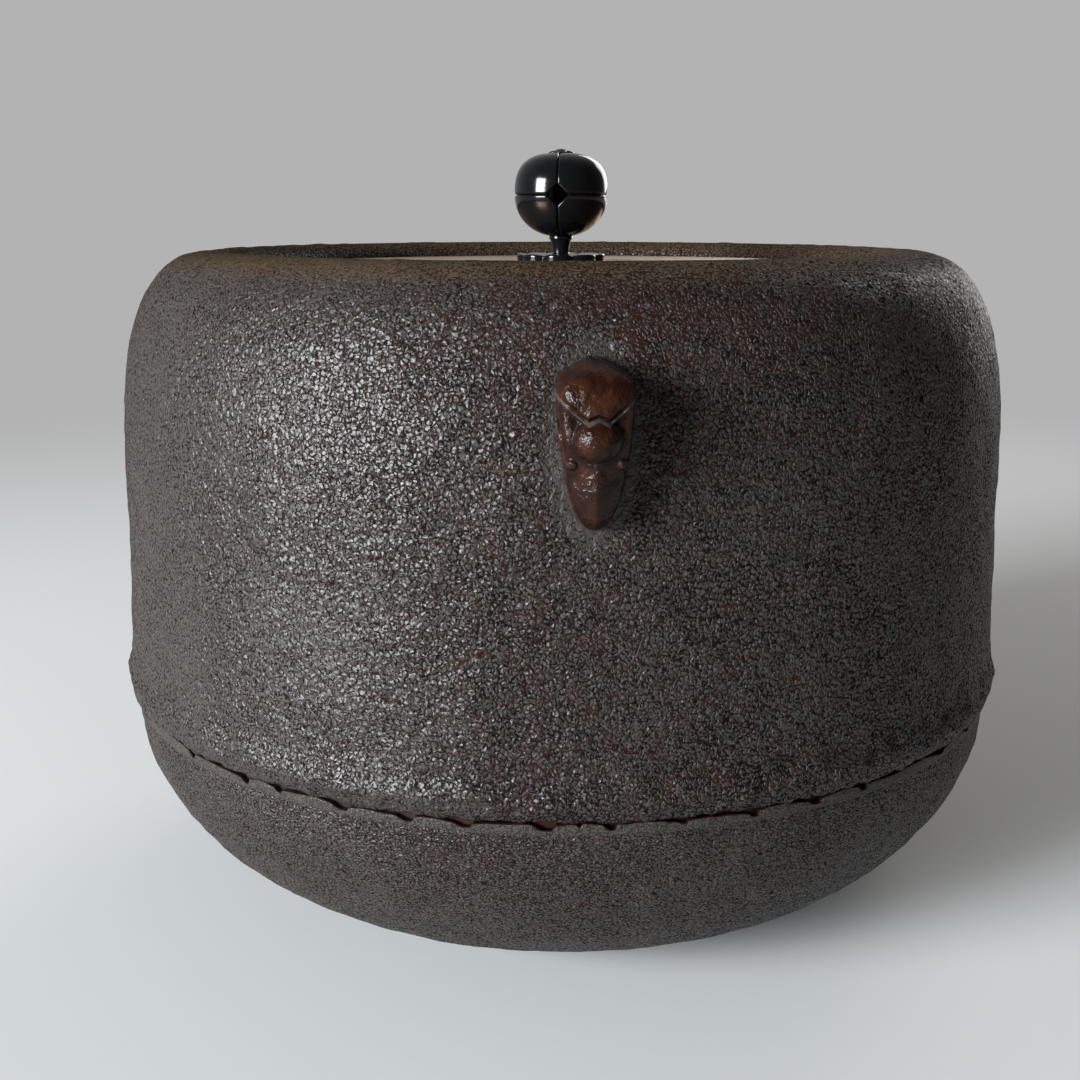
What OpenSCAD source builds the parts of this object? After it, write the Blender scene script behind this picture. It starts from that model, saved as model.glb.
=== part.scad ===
// Tea kettle of cast iron: a broad-shouldered barrel with a sunken bronze lid, a pierced
// eight-petal knob, two mask-shaped ring lugs and a round bottom pan that is lacquered
// into the barrel along a notched seam.
// Sizes are in millimetres. The base stands on z = 0 and the ring lugs face -Y and +Y.

/* [Barrel] */
// Diameter of the barrel where the shoulder's curve begins
body_d = 258.6; // [248:0.2:278]
// Height of the rim's crest above the base
rim_h = 188.6; // [180:0.1:200]
// Height above the base at which the shoulder's curve begins
belly_h = 115.8; // [100:0.2:126]
// Fullness of the shoulder curve, where 2 is an ellipse and more is squarer
shoulder_fullness = 2.88; // [2.2:0.02:3.4]
// Thickness of the cast wall
wall_t = 3.2; // [2.8:0.1:4.5]
// Height of the barrel's lower edge above the base
seam_h = 64.5; // [58:0.5:72]
// How far the barrel widens from there down to the broken flange
waist_flare = 1.6; // [0:0.1:4]
// Height of the swelling that the broken flange left
flange_h = 14; // [8:0.5:18]
// How far that swelling stands out
flange_swell = 1.4; // [0.5:0.1:3]
// How low that swelling sits, where 1 is halfway and more is lower
flange_droop = 1.6; // [1:0.1:2.4]

/* [Mouth and lid] */
// Diameter of the lid
lid_d = 183; // [168:0.5:192]
// Thickness of the lid at its edge
lid_t = 3; // [2:0.1:5]
// Rise of the lid's middle above its edge
lid_crown = 0.8; // [0.2:0.1:2]
// Width of the bevel round the lid's upper edge
lid_bevel = 0.8; // [0.2:0.1:1.5]
// Depth of the lid's edge below the rim's crest
lid_drop = 4.7; // [3:0.1:8]
// Gap round the lid
mouth_gap = 0.6; // [0.3:0.1:1.5]
// Width of the rolled lip from the mouth to the crest
lip_w = 7.2; // [4:0.1:12]
// Thickness of the casting under the crest
crest_t = 8; // [6:0.1:10]
// Width of the ledge under the lid
ledge_w = 8; // [5:0.5:14]
// Thickness of the ledge
ledge_t = 3.4; // [2.5:0.1:6]
// Depth of the locating ring under the lid
ring_h = 5; // [3:0.5:9]
// Thickness of the locating ring
ring_t = 2.6; // [1.5:0.1:5]
// Gap between the locating ring and the ledge
ring_gap = 0.7; // [0.3:0.1:2]

/* [Bottom pan] */
// Diameter of the flat base
base_d = 90; // [70:1:116]
// Fullness of the pan's curve, where 2 is an ellipse and more is squarer
pan_fullness = 2.08; // [1.9:0.02:2.8]
// Thickness of the pan's floor
floor_t = 3.4; // [2.6:0.1:5]
// How far the pan's rim lies inside the barrel's lower edge
pan_inset = 1; // [0.2:0.1:1.6]
// Height of the spigot that stands up inside the barrel
spigot_h = 12; // [7:0.5:18]
// Thickness of the spigot
spigot_t = 2.2; // [1.6:0.1:4]

/* [Seam] */
// Thickness of the lacquer between spigot and barrel
lacquer_t = 0.6; // [0.3:0.05:1]
// Height of the putty band below the barrel's edge
band_h = 2.3; // [1.4:0.1:4]
// Depth of the putty band behind its face
band_w = 1.6; // [0.8:0.1:2]
// Number of notches round the putty band
notch_count = 48; // [24:1:60]
// Mean width of a notch at the barrel's edge
notch_w = 5; // [4:0.1:7]
// Share by which the notches differ in width and place
notch_vary = 0.25; // [0:0.05:0.3]
// Length of a notch's slanting end
notch_slant = 1.2; // [0.4:0.1:1.4]
// Turn of the row of notches about the axis, in degrees
notch_turn = -2; // [-4:0.1:4]

/* [Ring lugs] */
// Height of a lug's middle above the base
lug_z = 151.3; // [142:0.1:158]
// Width of a lug
lug_w = 16.6; // [14:0.1:22]
// Height of a lug from chin to crown
lug_h = 36.6; // [30:0.1:42]
// Reach of the nose from the wall
lug_reach = 15.8; // [14:0.1:20]
// Reach of the cheeks from the wall
face_reach = 12.2; // [11.5:0.1:14]
// Share by which the chin is narrower than the brow
chin_taper = 0.46; // [0.2:0.02:0.6]
// Fall from the middle of the face to its side at the cheeks
cheek_fall = 0.6; // [0.2:0.1:1]
// Fall from the middle of the forehead to its side
forehead_fall = 2.2; // [0.5:0.1:4]
// Fall from the ridge of the jaw to its side
jaw_fall = 4; // [2:0.1:6]
// Diameter of the nose
nose_d = 9.6; // [7:0.1:12]
// Height of the nose above the lug's middle
nose_z = 2.6; // [0:0.1:4]
// Diameter of the bead at each corner of the jaw
bead_d = 2.6; // [1.6:0.1:3.6]
// Height of the beads below the lug's middle
bead_drop = 2.4; // [1:0.1:5]
// Height of the brow's inner end above the lug's middle
brow_z = 7; // [5:0.1:8]
// Rise of the brow for each millimetre towards the temple
brow_slope = 0.83; // [0.4:0.01:1.2]
// Distance between the brow's inner ends
brow_gap = 4.4; // [3:0.1:7]
// How far the forehead stands out over the eyes
forehead_rise = 1.9; // [0.8:0.1:3]
// Depth of the eye hollows
eye_hollow = 1.1; // [0.3:0.1:1.5]
// Diameter of the hole for the lifting ring
ring_eye_d = 7.6; // [6:0.1:8.4]
// Distance of that hole's axis from the wall
ring_eye_reach = 5.8; // [5.2:0.1:6.6]
// Height of that hole's axis above the lug's middle
ring_eye_z = 3; // [1.5:0.1:5]
// Diameter of the tenon that holds a lug in the wall
tenon_d = 9; // [6:0.1:10]
// Depth of the tenon in the wall
tenon_l = 1.6; // [0.8:0.1:2]
// Height of the tenon's axis below the lug's middle
tenon_drop = 6; // [4:0.1:8]
// Gap between a lug and the wall that it sits in
lug_gap = 0.05; // [0.02:0.01:0.2]

/* [Knob] */
// Diameter of the knob's ball at its seam
ball_d = 27.6; // [22:0.1:34]
// Height of the ball between its two flats
ball_h = 23.6; // [18:0.1:30]
// Fullness of the upper half's outline, where 2 is an ellipse and more is squarer
upper_fullness = 2.8; // [2:0.1:3]
// Fullness of the lower half's outline
lower_fullness = 2.1; // [2:0.1:3]
// Thickness of the ball's shell
shell_t = 1.8; // [1.2:0.1:3]
// Depth of the seams between the petals
seam_depth = 0.7; // [0.2:0.1:1]
// Width over which a petal curls into its seam
seam_w = 1; // [0.5:0.1:2]
// Width of the diamond-shaped openings
diamond_w = 6.4; // [3:0.1:9]
// Depth of the flat under the cap and over the collar
flat_depth = 0.3; // [0.1:0.05:0.6]
// Turn of the knob's seams away from the lugs, in degrees
knob_turn = -8; // [-45:1:45]
// Diameter of the flower-shaped seat
seat_d = 26.2; // [18:0.1:32]
// Thickness of the seat at its edge
seat_edge_t = 2.3; // [0.8:0.1:2.6]
// Height of the seat at the collar
seat_h = 2.8; // [2.6:0.1:6]
// Number of petals round the seat
seat_petals = 8; // [6:1:16]
// Width of a petal of the seat
seat_petal_w = 10.4; // [9.6:0.1:13]
// Height of the collar under the ball
collar_h = 4.9; // [3:0.1:8]
// Diameter of the collar's upper ring
collar_d = 7; // [6.2:0.1:9]
// Height of the collar's upper ring
collar_ring_h = 1; // [0.5:0.1:1.5]
// Diameter of the collar at its foot
collar_foot_d = 5; // [4.2:0.1:5.8]
// Distance across two lobes of the cap
cap_d = 7.4; // [5.4:0.1:8]
// Diameter of one lobe of the cap
cap_lobe_d = 3.8; // [3:0.1:4.6]
// Thickness of the cap
cap_t = 1; // [0.6:0.1:2]
// Diameter of the shank
shank_d = 3; // [2:0.1:3.6]
// Diameter of the shank's thick middle inside the ball
core_d = 7.4; // [5:0.1:8]
// Gap round the shank
shank_gap = 0.1; // [0.05:0.01:0.2]
// Diameter of the shank's head on the cap
head_d = 4; // [3.9:0.1:5]
// Height of the shank's head on the cap
head_h = 0.4; // [0.3:0.1:0.5]
// Diameter of the peened head under the lid
peen_d = 6; // [4.4:0.1:8]
// Height of the peened head
peen_h = 1.5; // [0.8:0.1:3]
// Diameter of the washer under the lid
washer_d = 14; // [9:0.5:20]
// Thickness of the washer
washer_t = 1.2; // [0.6:0.1:2.5]

/* [Sounding plates] */
// Length of a plate
plate_l = 20; // [14:0.5:26]
// Width of a plate
plate_w = 12; // [8:0.5:16]
// Thickness of a plate
plate_t = 1.5; // [0.8:0.1:3]
// Distance from the kettle's axis to the middle of a plate
plate_ring_r = 24; // [20:0.5:28]
// Diameter of the lacquer dab under a plate
dab_d = 9; // [6:0.5:12]
// Thickness of the lacquer dab
dab_t = 0.8; // [0.4:0.1:1.5]

/* [Hidden] */
$fn = 128;
// Overrun of a cutter past the face that it cuts
over = 1;

// Heights of the lid and of the knob that stands on it
lid_edge_z = rim_h - lid_drop;
ledge_z = lid_edge_z - lid_t;
ledge_low_z = ledge_z - ledge_t;
lid_top_z = lid_edge_z + lid_crown;
seat_top_z = lid_top_z + seat_h;
collar_top_z = seat_top_z + collar_h;
ball_z = collar_top_z + ball_h / 2;
ball_top_z = collar_top_z + ball_h;
cap_top_z = ball_top_z + cap_t;
washer_z = ledge_z - washer_t;

// Radii of the barrel and its mouth
body_r = body_d / 2;
waist_r = body_r + waist_flare;
waist_z = seam_h + flange_h;
bore_r = waist_r - wall_t;
mouth_r = lid_d / 2 + mouth_gap;
crest_r = mouth_r + lip_w;
ledge_r = mouth_r - ledge_w;

// Radii and heights of the seam between barrel and pan
pan_r = waist_r - pan_inset;
base_r = base_d / 2;
spigot_r = bore_r - lacquer_t;
spigot_in_r = spigot_r - spigot_t;
spigot_z = seam_h + spigot_h;
band_z = seam_h - band_h;
band_in_r = pan_r - band_w;

// Radius of the holes that the shank passes through
shank_bore_r = shank_d / 2 + shank_gap;

// Number of iron plates on the pan's floor
plate_count = 3;

// Rows and columns of points on a lug's face, and round and up a half of the ball
mask_rows = 42;
mask_cols = 24;
ball_cols = 40;
ball_rows = 9;

function reversed(list) = [for (i = [len(list) - 1:-1:0]) list[i]];

function smooth(t) =
    let (s = min(max(t, 0), 1))
    s * s * (3 - 2 * s);

// Superellipse quarter from the level end [r_in, z_end] to the upright end [r_out, z_side]
function quarter(r_in, r_out, z_end, z_side, fullness, steps) =
    [for (i = [0:steps])
        let (a = 90 * i / steps)
        [r_in + (r_out - r_in) * pow(sin(a), 2 / fullness),
         z_side + (z_end - z_side) * pow(cos(a), 2 / fullness)]];

// Swelling of the broken flange, from the waist to the lower edge
function flange_root(steps) =
    [for (i = [1:steps])
        let (s = i / steps)
        [waist_r + flange_swell * pow(sin(180 * pow(s, flange_droop)), 2), waist_z - flange_h * s]];

// Rolled lip from the mouth's wall up to just short of the crest
function lip(steps) =
    [for (i = [0:steps - 1])
        let (a = 90 * i / steps)
        [mouth_r + lip_w * (1 - cos(a)), lid_edge_z + lid_drop * sin(a)]];

// Dome from [r, z] up to the axis at z + h
function dome(r, z, h, steps) =
    [for (i = [0:steps]) [r * cos(90 * i / steps), z + h * sin(90 * i / steps)]];

outer_wall = concat(
    quarter(crest_r, body_r, rim_h, belly_h, shoulder_fullness, 16),
    [[waist_r, waist_z]],
    flange_root(8));

inner_wall = concat(
    [[ledge_r, ledge_low_z], [mouth_r, ledge_low_z]],
    quarter(crest_r, body_r - wall_t, rim_h - crest_t, belly_h, shoulder_fullness, 12),
    [[bore_r, waist_z], [bore_r, seam_h]]);

mouth = concat([[ledge_r, ledge_z], [mouth_r, ledge_z]], lip(8));

// Outer radius of the shoulder at height z above the belly
function shoulder_r(z) =
    let (rise = (z - belly_h) / (rim_h - belly_h))
    crest_r + (body_r - crest_r) * pow(1 - pow(rise, shoulder_fullness), 1 / shoulder_fullness);

// Wall that the lugs' sizes are measured from
lug_wall_r = shoulder_r(lug_z);
// Depth of the mask's back inside the barrel's form at the lug's crown
mask_root = lug_wall_r - shoulder_r(lug_z + lug_h / 2) + over;
tenon_z = lug_z - tenon_drop;
tenon_end_r = lug_wall_r - tenon_l;

// Half-width of the mask at v, which runs from -1 at the chin to 1 at the crown: a flat
// gable over upright temples that narrow to a round chin
mask_widest_v = 0.6;
gable_slope = 0.5;
gable_w = lug_h / 30;
function mask_half_w(v) =
    let (down = max(0, (mask_widest_v - v) / (mask_widest_v + 1)),
         round_chin = v < 0 ? sqrt(1 - pow(v, 4)) : 1,
         side = lug_w / 2 * (1 - chin_taper * pow(down, 1.5)) * round_chin,
         gable = gable_w + (1 - v) * lug_h / 2 / gable_slope)
    pow(pow(side, -8) + pow(gable, -8), -1 / 8);

// Height of the brow's lower edge at distance x from the mask's middle
function brow_line(x) =
    let (past = x - brow_gap / 2)
    brow_z + brow_slope * max(past, -past / 2);

// Place up the mask, as v, of the point at share t of the rows in column u: the rows bend
// so that one of them follows the brow's edge
mask_end_v = 0.985;
brow_share = 0.64;
function mask_v(u, t) =
    let (brow_v = brow_line(abs(u) * lug_w / 2) * 2 / lug_h)
    t < brow_share
        ? -mask_end_v + (brow_v + mask_end_v) * t / brow_share
        : brow_v + (mask_end_v - brow_v) * (t - brow_share) / (1 - brow_share);

// Reach of the mask without its nose at u across, from -1 to 1, and v up
brow_blend = lug_h / 20;
eye_x = lug_w * 0.28;
eye_spread = lug_h / 22.5;
jaw_blend = lug_h / 4;
edge_round = lug_h / 72;
function mask_depth(u, v) =
    let (across = abs(u),
         x = across * mask_half_w(v),
         z = v * lug_h / 2,
         brow = smooth((z - brow_line(x)) / brow_blend + 0.5),
         jaw = smooth((nose_z - z) / jaw_blend),
         fall = cheek_fall + (forehead_fall - cheek_fall) * brow + (jaw_fall - cheek_fall) * jaw,
         off_x = (x - eye_x) / eye_spread,
         off_z = (z - brow_line(eye_x)) / eye_spread + 1,
         hollow = eye_hollow * exp(-(off_x * off_x + off_z * off_z) / 2),
         face = face_reach + forehead_rise * brow - hollow - fall * across - edge_round * pow(across, 8))
    face * pow(1 - pow(v, 4), 1 / 3);

// Seam groove of the ball, from 0 on a petal to 1 on an upright seam, which fades out
// before the flat at the pole
belt_share = 0.5;
function groove(turn, r, z) =
    let (meridian = r * abs(sin(2 * turn)) / 2,
         fade = smooth(2 * r / collar_d - 1))
    fade * max(exp(-meridian / seam_w), belt_share * exp(-z / seam_w));

// One ring of points round a half of the ball, on its outside or its inside
ball_half_h = ball_h / 2 + flat_depth;
function ball_turn(i) =
    let (quarter_cols = ball_cols / 4)
    90 * floor(i / quarter_cols) + 45 * (1 - cos(180 * (i % quarter_cols) / quarter_cols));
function ball_ring(k, outside, fullness) =
    let (inset = outside ? 0 : shell_t,
         pole_lat = acos(pow(shank_d / 2 / ball_d, fullness / 2)),
         lat = pole_lat * (1 - cos(90 * k / (ball_rows - 1))),
         r = (ball_d / 2 - inset) * pow(cos(lat), 2 / fullness),
         z = (ball_half_h - inset) * pow(sin(lat), 2 / fullness))
    [for (i = [0:ball_cols - 1])
        let (turn = ball_turn(i),
             size = outside ? 1 - 2 * seam_depth / ball_d * groove(turn, r, z) : 1)
        [size * r * cos(turn), size * r * sin(turn), size * z]];

module shank_hole() {
    translate([0, 0, washer_z - over])
        cylinder(r = shank_bore_r, h = cap_top_z - washer_z + 2 * over);
}

// Barrel's outer form, filled to the axis and grown by a gap
module barrel_form(gap) {
    rotate_extrude()
        polygon(concat(
            [[0, seam_h], [0, rim_h]],
            [for (p = outer_wall) [p[0] + gap, p[1]]]));
}

module kettle_body() {
    color("#3d3531") difference() {
        rotate_extrude() polygon(concat(outer_wall, reversed(inner_wall), mouth));
        for (turn = [0, 180])
            rotate(turn) translate([0, tenon_end_r, tenon_z]) rotate([-90, 0, 0])
                cylinder(d = tenon_d, h = tenon_l + lug_reach);
    }
}

module bottom_pan() {
    outside = quarter(base_r, pan_r, 0, band_z, pan_fullness, 18);
    inside = quarter(base_r, spigot_in_r, floor_t, band_z, pan_fullness, 16);
    spigot = [[spigot_r, band_z], [spigot_r, spigot_z], [spigot_in_r, spigot_z]];
    color("#4a4038") rotate_extrude()
        polygon(concat([[0, 0]], outside, spigot, reversed(inside), [[0, floor_t]]));
}

module seam_lacquer() {
    color("#3c1712") rotate_extrude()
        polygon([[spigot_r, band_z], [band_in_r, band_z], [band_in_r, seam_h],
            [bore_r, seam_h], [bore_r, spigot_z], [spigot_r, spigot_z]]);
}

// Pad of putty between two notches, with one slanting end and one steeper end
module putty_pad(top_w) {
    rotate([90, 0, 90]) linear_extrude(band_w)
        polygon([[-top_w / 2 - notch_slant, 0], [top_w / 2 + notch_slant / 3, 0],
            [top_w / 2, band_h], [-top_w / 2, band_h]]);
}

module seam_putty() {
    pitch_l = 2 * PI * pan_r / notch_count;
    color("#5f5b55") for (i = [0:notch_count - 1]) {
        stray = notch_w * notch_vary * sin(137.5 * i) / 2;
        gap = notch_w * (1 + notch_vary * cos(222.5 * i));
        rotate(notch_turn + 360 * i / notch_count) translate([band_in_r, stray, band_z])
            putty_pad(pitch_l - gap);
    }
}

// Mask facing +Y, with its middle at the origin and its back inside the wall
module mask() {
    rows = [for (j = [0:mask_rows]) j / mask_rows];
    cols = [for (i = [0:mask_cols]) 2 * i / mask_cols - 1];
    front = [for (t = rows) for (u = cols)
        let (v = mask_v(u, t))
        [u * mask_half_w(v), mask_depth(u, v), v * lug_h / 2]];
    back = [for (t = rows) for (u = [-1, 1])
        let (v = mask_v(u, t))
        [u * mask_half_w(v), -mask_root, v * lug_h / 2]];
    across = mask_cols + 1;
    first_back = len(front);
    last_row = mask_rows * across;
    last_back = first_back + 2 * mask_rows;
    face = [for (j = [0:mask_rows - 1]) for (i = [0:mask_cols - 1])
        let (p = j * across + i)
        each [[p, p + 1, p + across + 1], [p, p + across + 1, p + across]]];
    sides = [for (j = [0:mask_rows - 1])
        let (p = j * across, q = p + mask_cols, b = first_back + 2 * j)
        each [[b, p, p + across], [b, p + across, b + 2],
            [q, b + 1, b + 3], [q, b + 3, q + across],
            [b + 1, b, b + 2], [b + 1, b + 2, b + 3]]];
    chin = [for (i = [0:mask_cols - 1]) [first_back, i + 1, i]];
    crown = [for (i = [0:mask_cols - 1]) [last_back, last_row + i, last_row + i + 1]];
    ends = [[first_back, first_back + 1, mask_cols], [last_back, last_row + mask_cols, last_back + 1]];
    polyhedron(concat(front, back), concat(face, sides, chin, crown, ends));
}

// Round bead on the mask's face at distance x from its middle and height z above it
module bead(x, z) {
    v = 2 * z / lug_h;
    translate([x, mask_depth(x / mask_half_w(v), v), z]) sphere(d = bead_d, $fn = 32);
}

module ring_lug(turn) {
    bead_x = mask_half_w(-2 * bead_drop / lug_h) - bead_d / 2;
    color("#4b2b21") rotate(turn) {
        difference() {
            translate([0, lug_wall_r, lug_z]) {
                mask();
                translate([0, lug_reach - nose_d / 2, nose_z]) sphere(d = nose_d, $fn = 48);
                for (side = [-1, 1]) bead(side * bead_x, -bead_drop);
            }
            barrel_form(lug_gap);
            translate([0, lug_wall_r + ring_eye_reach, lug_z + ring_eye_z]) rotate([0, 90, 0])
                cylinder(d = ring_eye_d, h = lug_w + 2 * over, center = true);
        }
        translate([0, tenon_end_r, tenon_z]) rotate([-90, 0, 0])
            cylinder(d = tenon_d - 2 * lug_gap, h = tenon_l + ring_eye_reach - ring_eye_d / 2);
    }
}

module sound_plate(i) {
    color("#463d37") rotate(360 * i / plate_count)
        translate([plate_ring_r, 0, floor_t + dab_t + plate_t / 2])
            cube([plate_w, plate_l, plate_t], center = true);
}

module lacquer_dab(i) {
    color("#2e1410") rotate(360 * i / plate_count)
        translate([plate_ring_r, 0, floor_t])
            cylinder(d = dab_d, h = dab_t);
}

module lid_plate() {
    lid_r = lid_d / 2;
    flat_r = seat_d / 2 + lid_bevel;
    slope_end_r = lid_r - lid_bevel;
    ring_r = ledge_r - ring_gap;
    crown = [for (i = [0:8])
        [flat_r + (slope_end_r - flat_r) * i / 8, lid_edge_z + lid_crown * (1 + cos(180 * i / 8)) / 2]];
    color("#8d6c48") difference() {
        rotate_extrude()
            polygon(concat(
                [[0, ledge_z], [0, lid_top_z]],
                crown,
                [[lid_r, lid_edge_z - lid_bevel], [lid_r, ledge_z], [ring_r, ledge_z],
                 [ring_r, ledge_z - ring_h], [ring_r - ring_t, ledge_z - ring_h],
                 [ring_r - ring_t, ledge_z]]));
        shank_hole();
    }
}

module knob_seat() {
    seat_r = seat_d / 2;
    petal_r = seat_petal_w / 2;
    color("#17171a") difference() {
        intersection() {
            translate([0, 0, lid_top_z]) linear_extrude(seat_h) {
                circle(r = seat_r - petal_r);
                for (i = [0:seat_petals - 1])
                    rotate(knob_turn + 360 * i / seat_petals) translate([seat_r - petal_r, 0])
                        circle(r = petal_r);
            }
            translate([0, 0, lid_top_z]) rotate_extrude()
                polygon([[0, 0], [seat_r, 0], [seat_r, seat_edge_t],
                    [collar_foot_d / 2, seat_h], [0, seat_h]]);
        }
        shank_hole();
    }
}

module knob_collar() {
    foot_r = collar_foot_d / 2;
    flare = (collar_d - collar_foot_d) / 3;
    cone_h = collar_h - collar_ring_h;
    cone = [for (i = [0:8]) [foot_r + flare * pow(i / 8, 2), seat_top_z + cone_h * i / 8]];
    ring = [[collar_d / 2, seat_top_z + cone_h], [collar_d / 2, collar_top_z]];
    color("#17171a") difference() {
        rotate_extrude() polygon(concat([[0, seat_top_z]], cone, ring, [[0, collar_top_z]]));
        shank_hole();
    }
}

// Half of the hollow ball, standing on its seam with its pole up
module half_ball(fullness) {
    rings = concat(
        [for (k = [0:ball_rows - 1]) ball_ring(k, true, fullness)],
        [for (k = [ball_rows - 1:-1:0]) ball_ring(k, false, fullness)]);
    count = len(rings);
    faces = [for (k = [0:count - 1]) for (i = [0:ball_cols - 1])
        let (up = (k + 1) % count * ball_cols,
             here = k * ball_cols,
             next = (i + 1) % ball_cols)
        each [[here + i, up + i, up + next], [here + i, up + next, here + next]]];
    difference() {
        polyhedron([for (ring = rings) each ring], faces);
        cylinder(r = shank_bore_r, h = ball_half_h + over);
        translate([0, 0, ball_h / 2]) cylinder(d = collar_d + over, h = flat_depth + over);
        for (turn = [0, 90])
            rotate(turn) rotate([0, 90, 0])
                cylinder(d = diamond_w, h = ball_d + over, center = true, $fn = 4);
    }
}

module knob_lower_shell() {
    color("#131316") translate([0, 0, ball_z]) rotate(knob_turn) rotate([180, 0, 0])
        half_ball(lower_fullness);
}

module knob_upper_shell() {
    color("#131316") translate([0, 0, ball_z]) rotate(knob_turn) half_ball(upper_fullness);
}

module knob_cap() {
    lobe_r = cap_lobe_d / 2;
    color("#17171a") difference() {
        intersection() {
            translate([0, 0, ball_top_z]) linear_extrude(cap_t)
                for (turn = [0:90:270])
                    rotate(knob_turn + turn) translate([cap_d / 2 - lobe_r, 0]) circle(r = lobe_r);
            rotate_extrude()
                polygon(concat(
                    [[0, ball_top_z], [cap_d / 2, ball_top_z]],
                    dome(cap_d / 2, ball_top_z + cap_t / 2, cap_t / 2, 8)));
        }
        shank_hole();
        translate([0, 0, cap_top_z - head_h]) cylinder(d = head_d + 2 * shank_gap, h = head_h + over);
    }
}

module knob_shank() {
    shank_r = shank_d / 2;
    head_z = cap_top_z - head_h;
    core_r = core_d / 2;
    core_half_h = ball_h / 2 - 1.2 * shell_t;
    peen = [for (p = dome(peen_d / 2, -washer_z, peen_h, 6)) [p[0], -p[1]]];
    color("#1b1b1d") rotate_extrude()
        polygon(concat(
            reversed(peen),
            [[shank_r, washer_z], [shank_r, ball_z - core_half_h], [core_r, ball_z - core_half_h],
             [core_r, ball_z + core_half_h], [shank_r, ball_z + core_half_h], [shank_r, head_z]],
            dome(head_d / 2, head_z, 2 * head_h, 6)));
}

module shank_washer() {
    color("#7f6343") difference() {
        translate([0, 0, washer_z]) cylinder(d = washer_d, h = washer_t);
        shank_hole();
    }
}

kettle_body();
bottom_pan();
seam_lacquer();
seam_putty();
ring_lug(180);  // ring_lug_front
ring_lug(0);  // ring_lug_rear
for (i = [0:plate_count - 1]) sound_plate(i);
for (i = [0:plate_count - 1]) lacquer_dab(i);
lid_plate();
knob_seat();
knob_collar();
knob_lower_shell();
knob_upper_shell();
knob_cap();
knob_shank();
shank_washer();
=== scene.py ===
"""Looks of a cast-iron tea kettle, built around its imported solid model."""

import math

import bmesh
import bpy
import numpy as np
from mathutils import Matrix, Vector


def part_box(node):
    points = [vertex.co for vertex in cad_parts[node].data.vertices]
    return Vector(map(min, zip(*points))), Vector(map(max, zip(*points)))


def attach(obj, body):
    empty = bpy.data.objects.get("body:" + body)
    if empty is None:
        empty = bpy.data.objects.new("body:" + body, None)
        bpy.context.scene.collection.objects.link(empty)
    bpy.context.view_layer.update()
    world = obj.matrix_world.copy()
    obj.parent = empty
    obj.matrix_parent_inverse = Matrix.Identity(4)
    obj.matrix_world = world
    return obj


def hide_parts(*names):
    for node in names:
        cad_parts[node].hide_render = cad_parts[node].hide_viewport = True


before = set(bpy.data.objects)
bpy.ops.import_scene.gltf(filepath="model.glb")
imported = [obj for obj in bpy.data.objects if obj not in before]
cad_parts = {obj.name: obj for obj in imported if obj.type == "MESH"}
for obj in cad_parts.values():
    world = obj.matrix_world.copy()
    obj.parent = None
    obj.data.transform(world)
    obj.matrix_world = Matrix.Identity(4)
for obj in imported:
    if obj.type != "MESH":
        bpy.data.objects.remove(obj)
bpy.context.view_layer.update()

bl_info = {
    "name": "Cast-iron tea kettle",
    "version": (1, 0, 0),
    "blender": (4, 5, 0),
    "location": "3D View > Sidebar > Kettle",
    "description": "Builds the skin, seam, lugs, lid and knob of a tea kettle around its solid model",
    "category": "Add Mesh",
}

MM = 0.001
RIM_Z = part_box("kettle_body")[1].z
SEAM_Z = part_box("kettle_body")[0].z
LID_TOP_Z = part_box("knob_seat")[0].z
SEAT_TOP_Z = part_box("knob_collar")[0].z
BALL_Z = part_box("knob_upper_shell")[0].z
BALL_TOP_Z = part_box("knob_cap")[0].z


# Properties

def length(name, description, default):
    """Property for a length in metres."""
    return bpy.props.FloatProperty(
        name=name, description=description, default=default, unit="LENGTH", precision=5)


def share(name, description, default):
    """Property for a plain number."""
    return bpy.props.FloatProperty(name=name, description=description, default=default, precision=4)


def turn(name, description, default):
    """Property for an angle, given in degrees."""
    return bpy.props.FloatProperty(
        name=name, description=description, default=math.radians(default), subtype="ANGLE")


def colour(name, description, default):
    """Property for a colour in linear light."""
    return bpy.props.FloatVectorProperty(
        name=name, description=description, default=default, size=3, min=0, max=1, subtype="COLOR")


class BarrelSizes(bpy.types.PropertyGroup):
    """Sizes of the barrel, which follow its solid."""
    body_r: length("Radius", "Radius of the barrel where the shoulder's curve begins", 0.1293)
    belly_z: length("Belly", "Height at which the shoulder's curve begins", 0.1158)
    fullness: share("Shoulder fullness", "Exponent of the shoulder's curve, where 2 is an ellipse", 2.88)
    wall: length("Wall", "Thickness of the cast wall", 0.0032)
    waist_flare: length("Flare", "How far the barrel widens down to the broken flange", 0.0016)
    flange_h: length("Flange height", "Height of the swelling that the broken flange left", 0.014)
    flange_swell: length("Flange swell", "How far that swelling stands out", 0.0014)
    flange_droop: share("Flange droop", "How low that swelling sits, where 1 is halfway", 1.6)
    mouth_r: length("Mouth radius", "Radius of the mouth", 0.0921)
    lid_drop: length("Lid drop", "Depth of the lid's edge below the crest", 0.0047)
    lip_w: length("Lip", "Width of the rolled lip", 0.0072)
    crest_t: length("Crest", "Thickness of the casting under the crest", 0.008)
    ledge_w: length("Ledge width", "Width of the ledge under the lid", 0.008)
    ledge_t: length("Ledge thickness", "Thickness of that ledge", 0.0034)
    skin: length("Unevenness", "Height of the slow unevenness of the cast skin", 0.0001)


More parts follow.
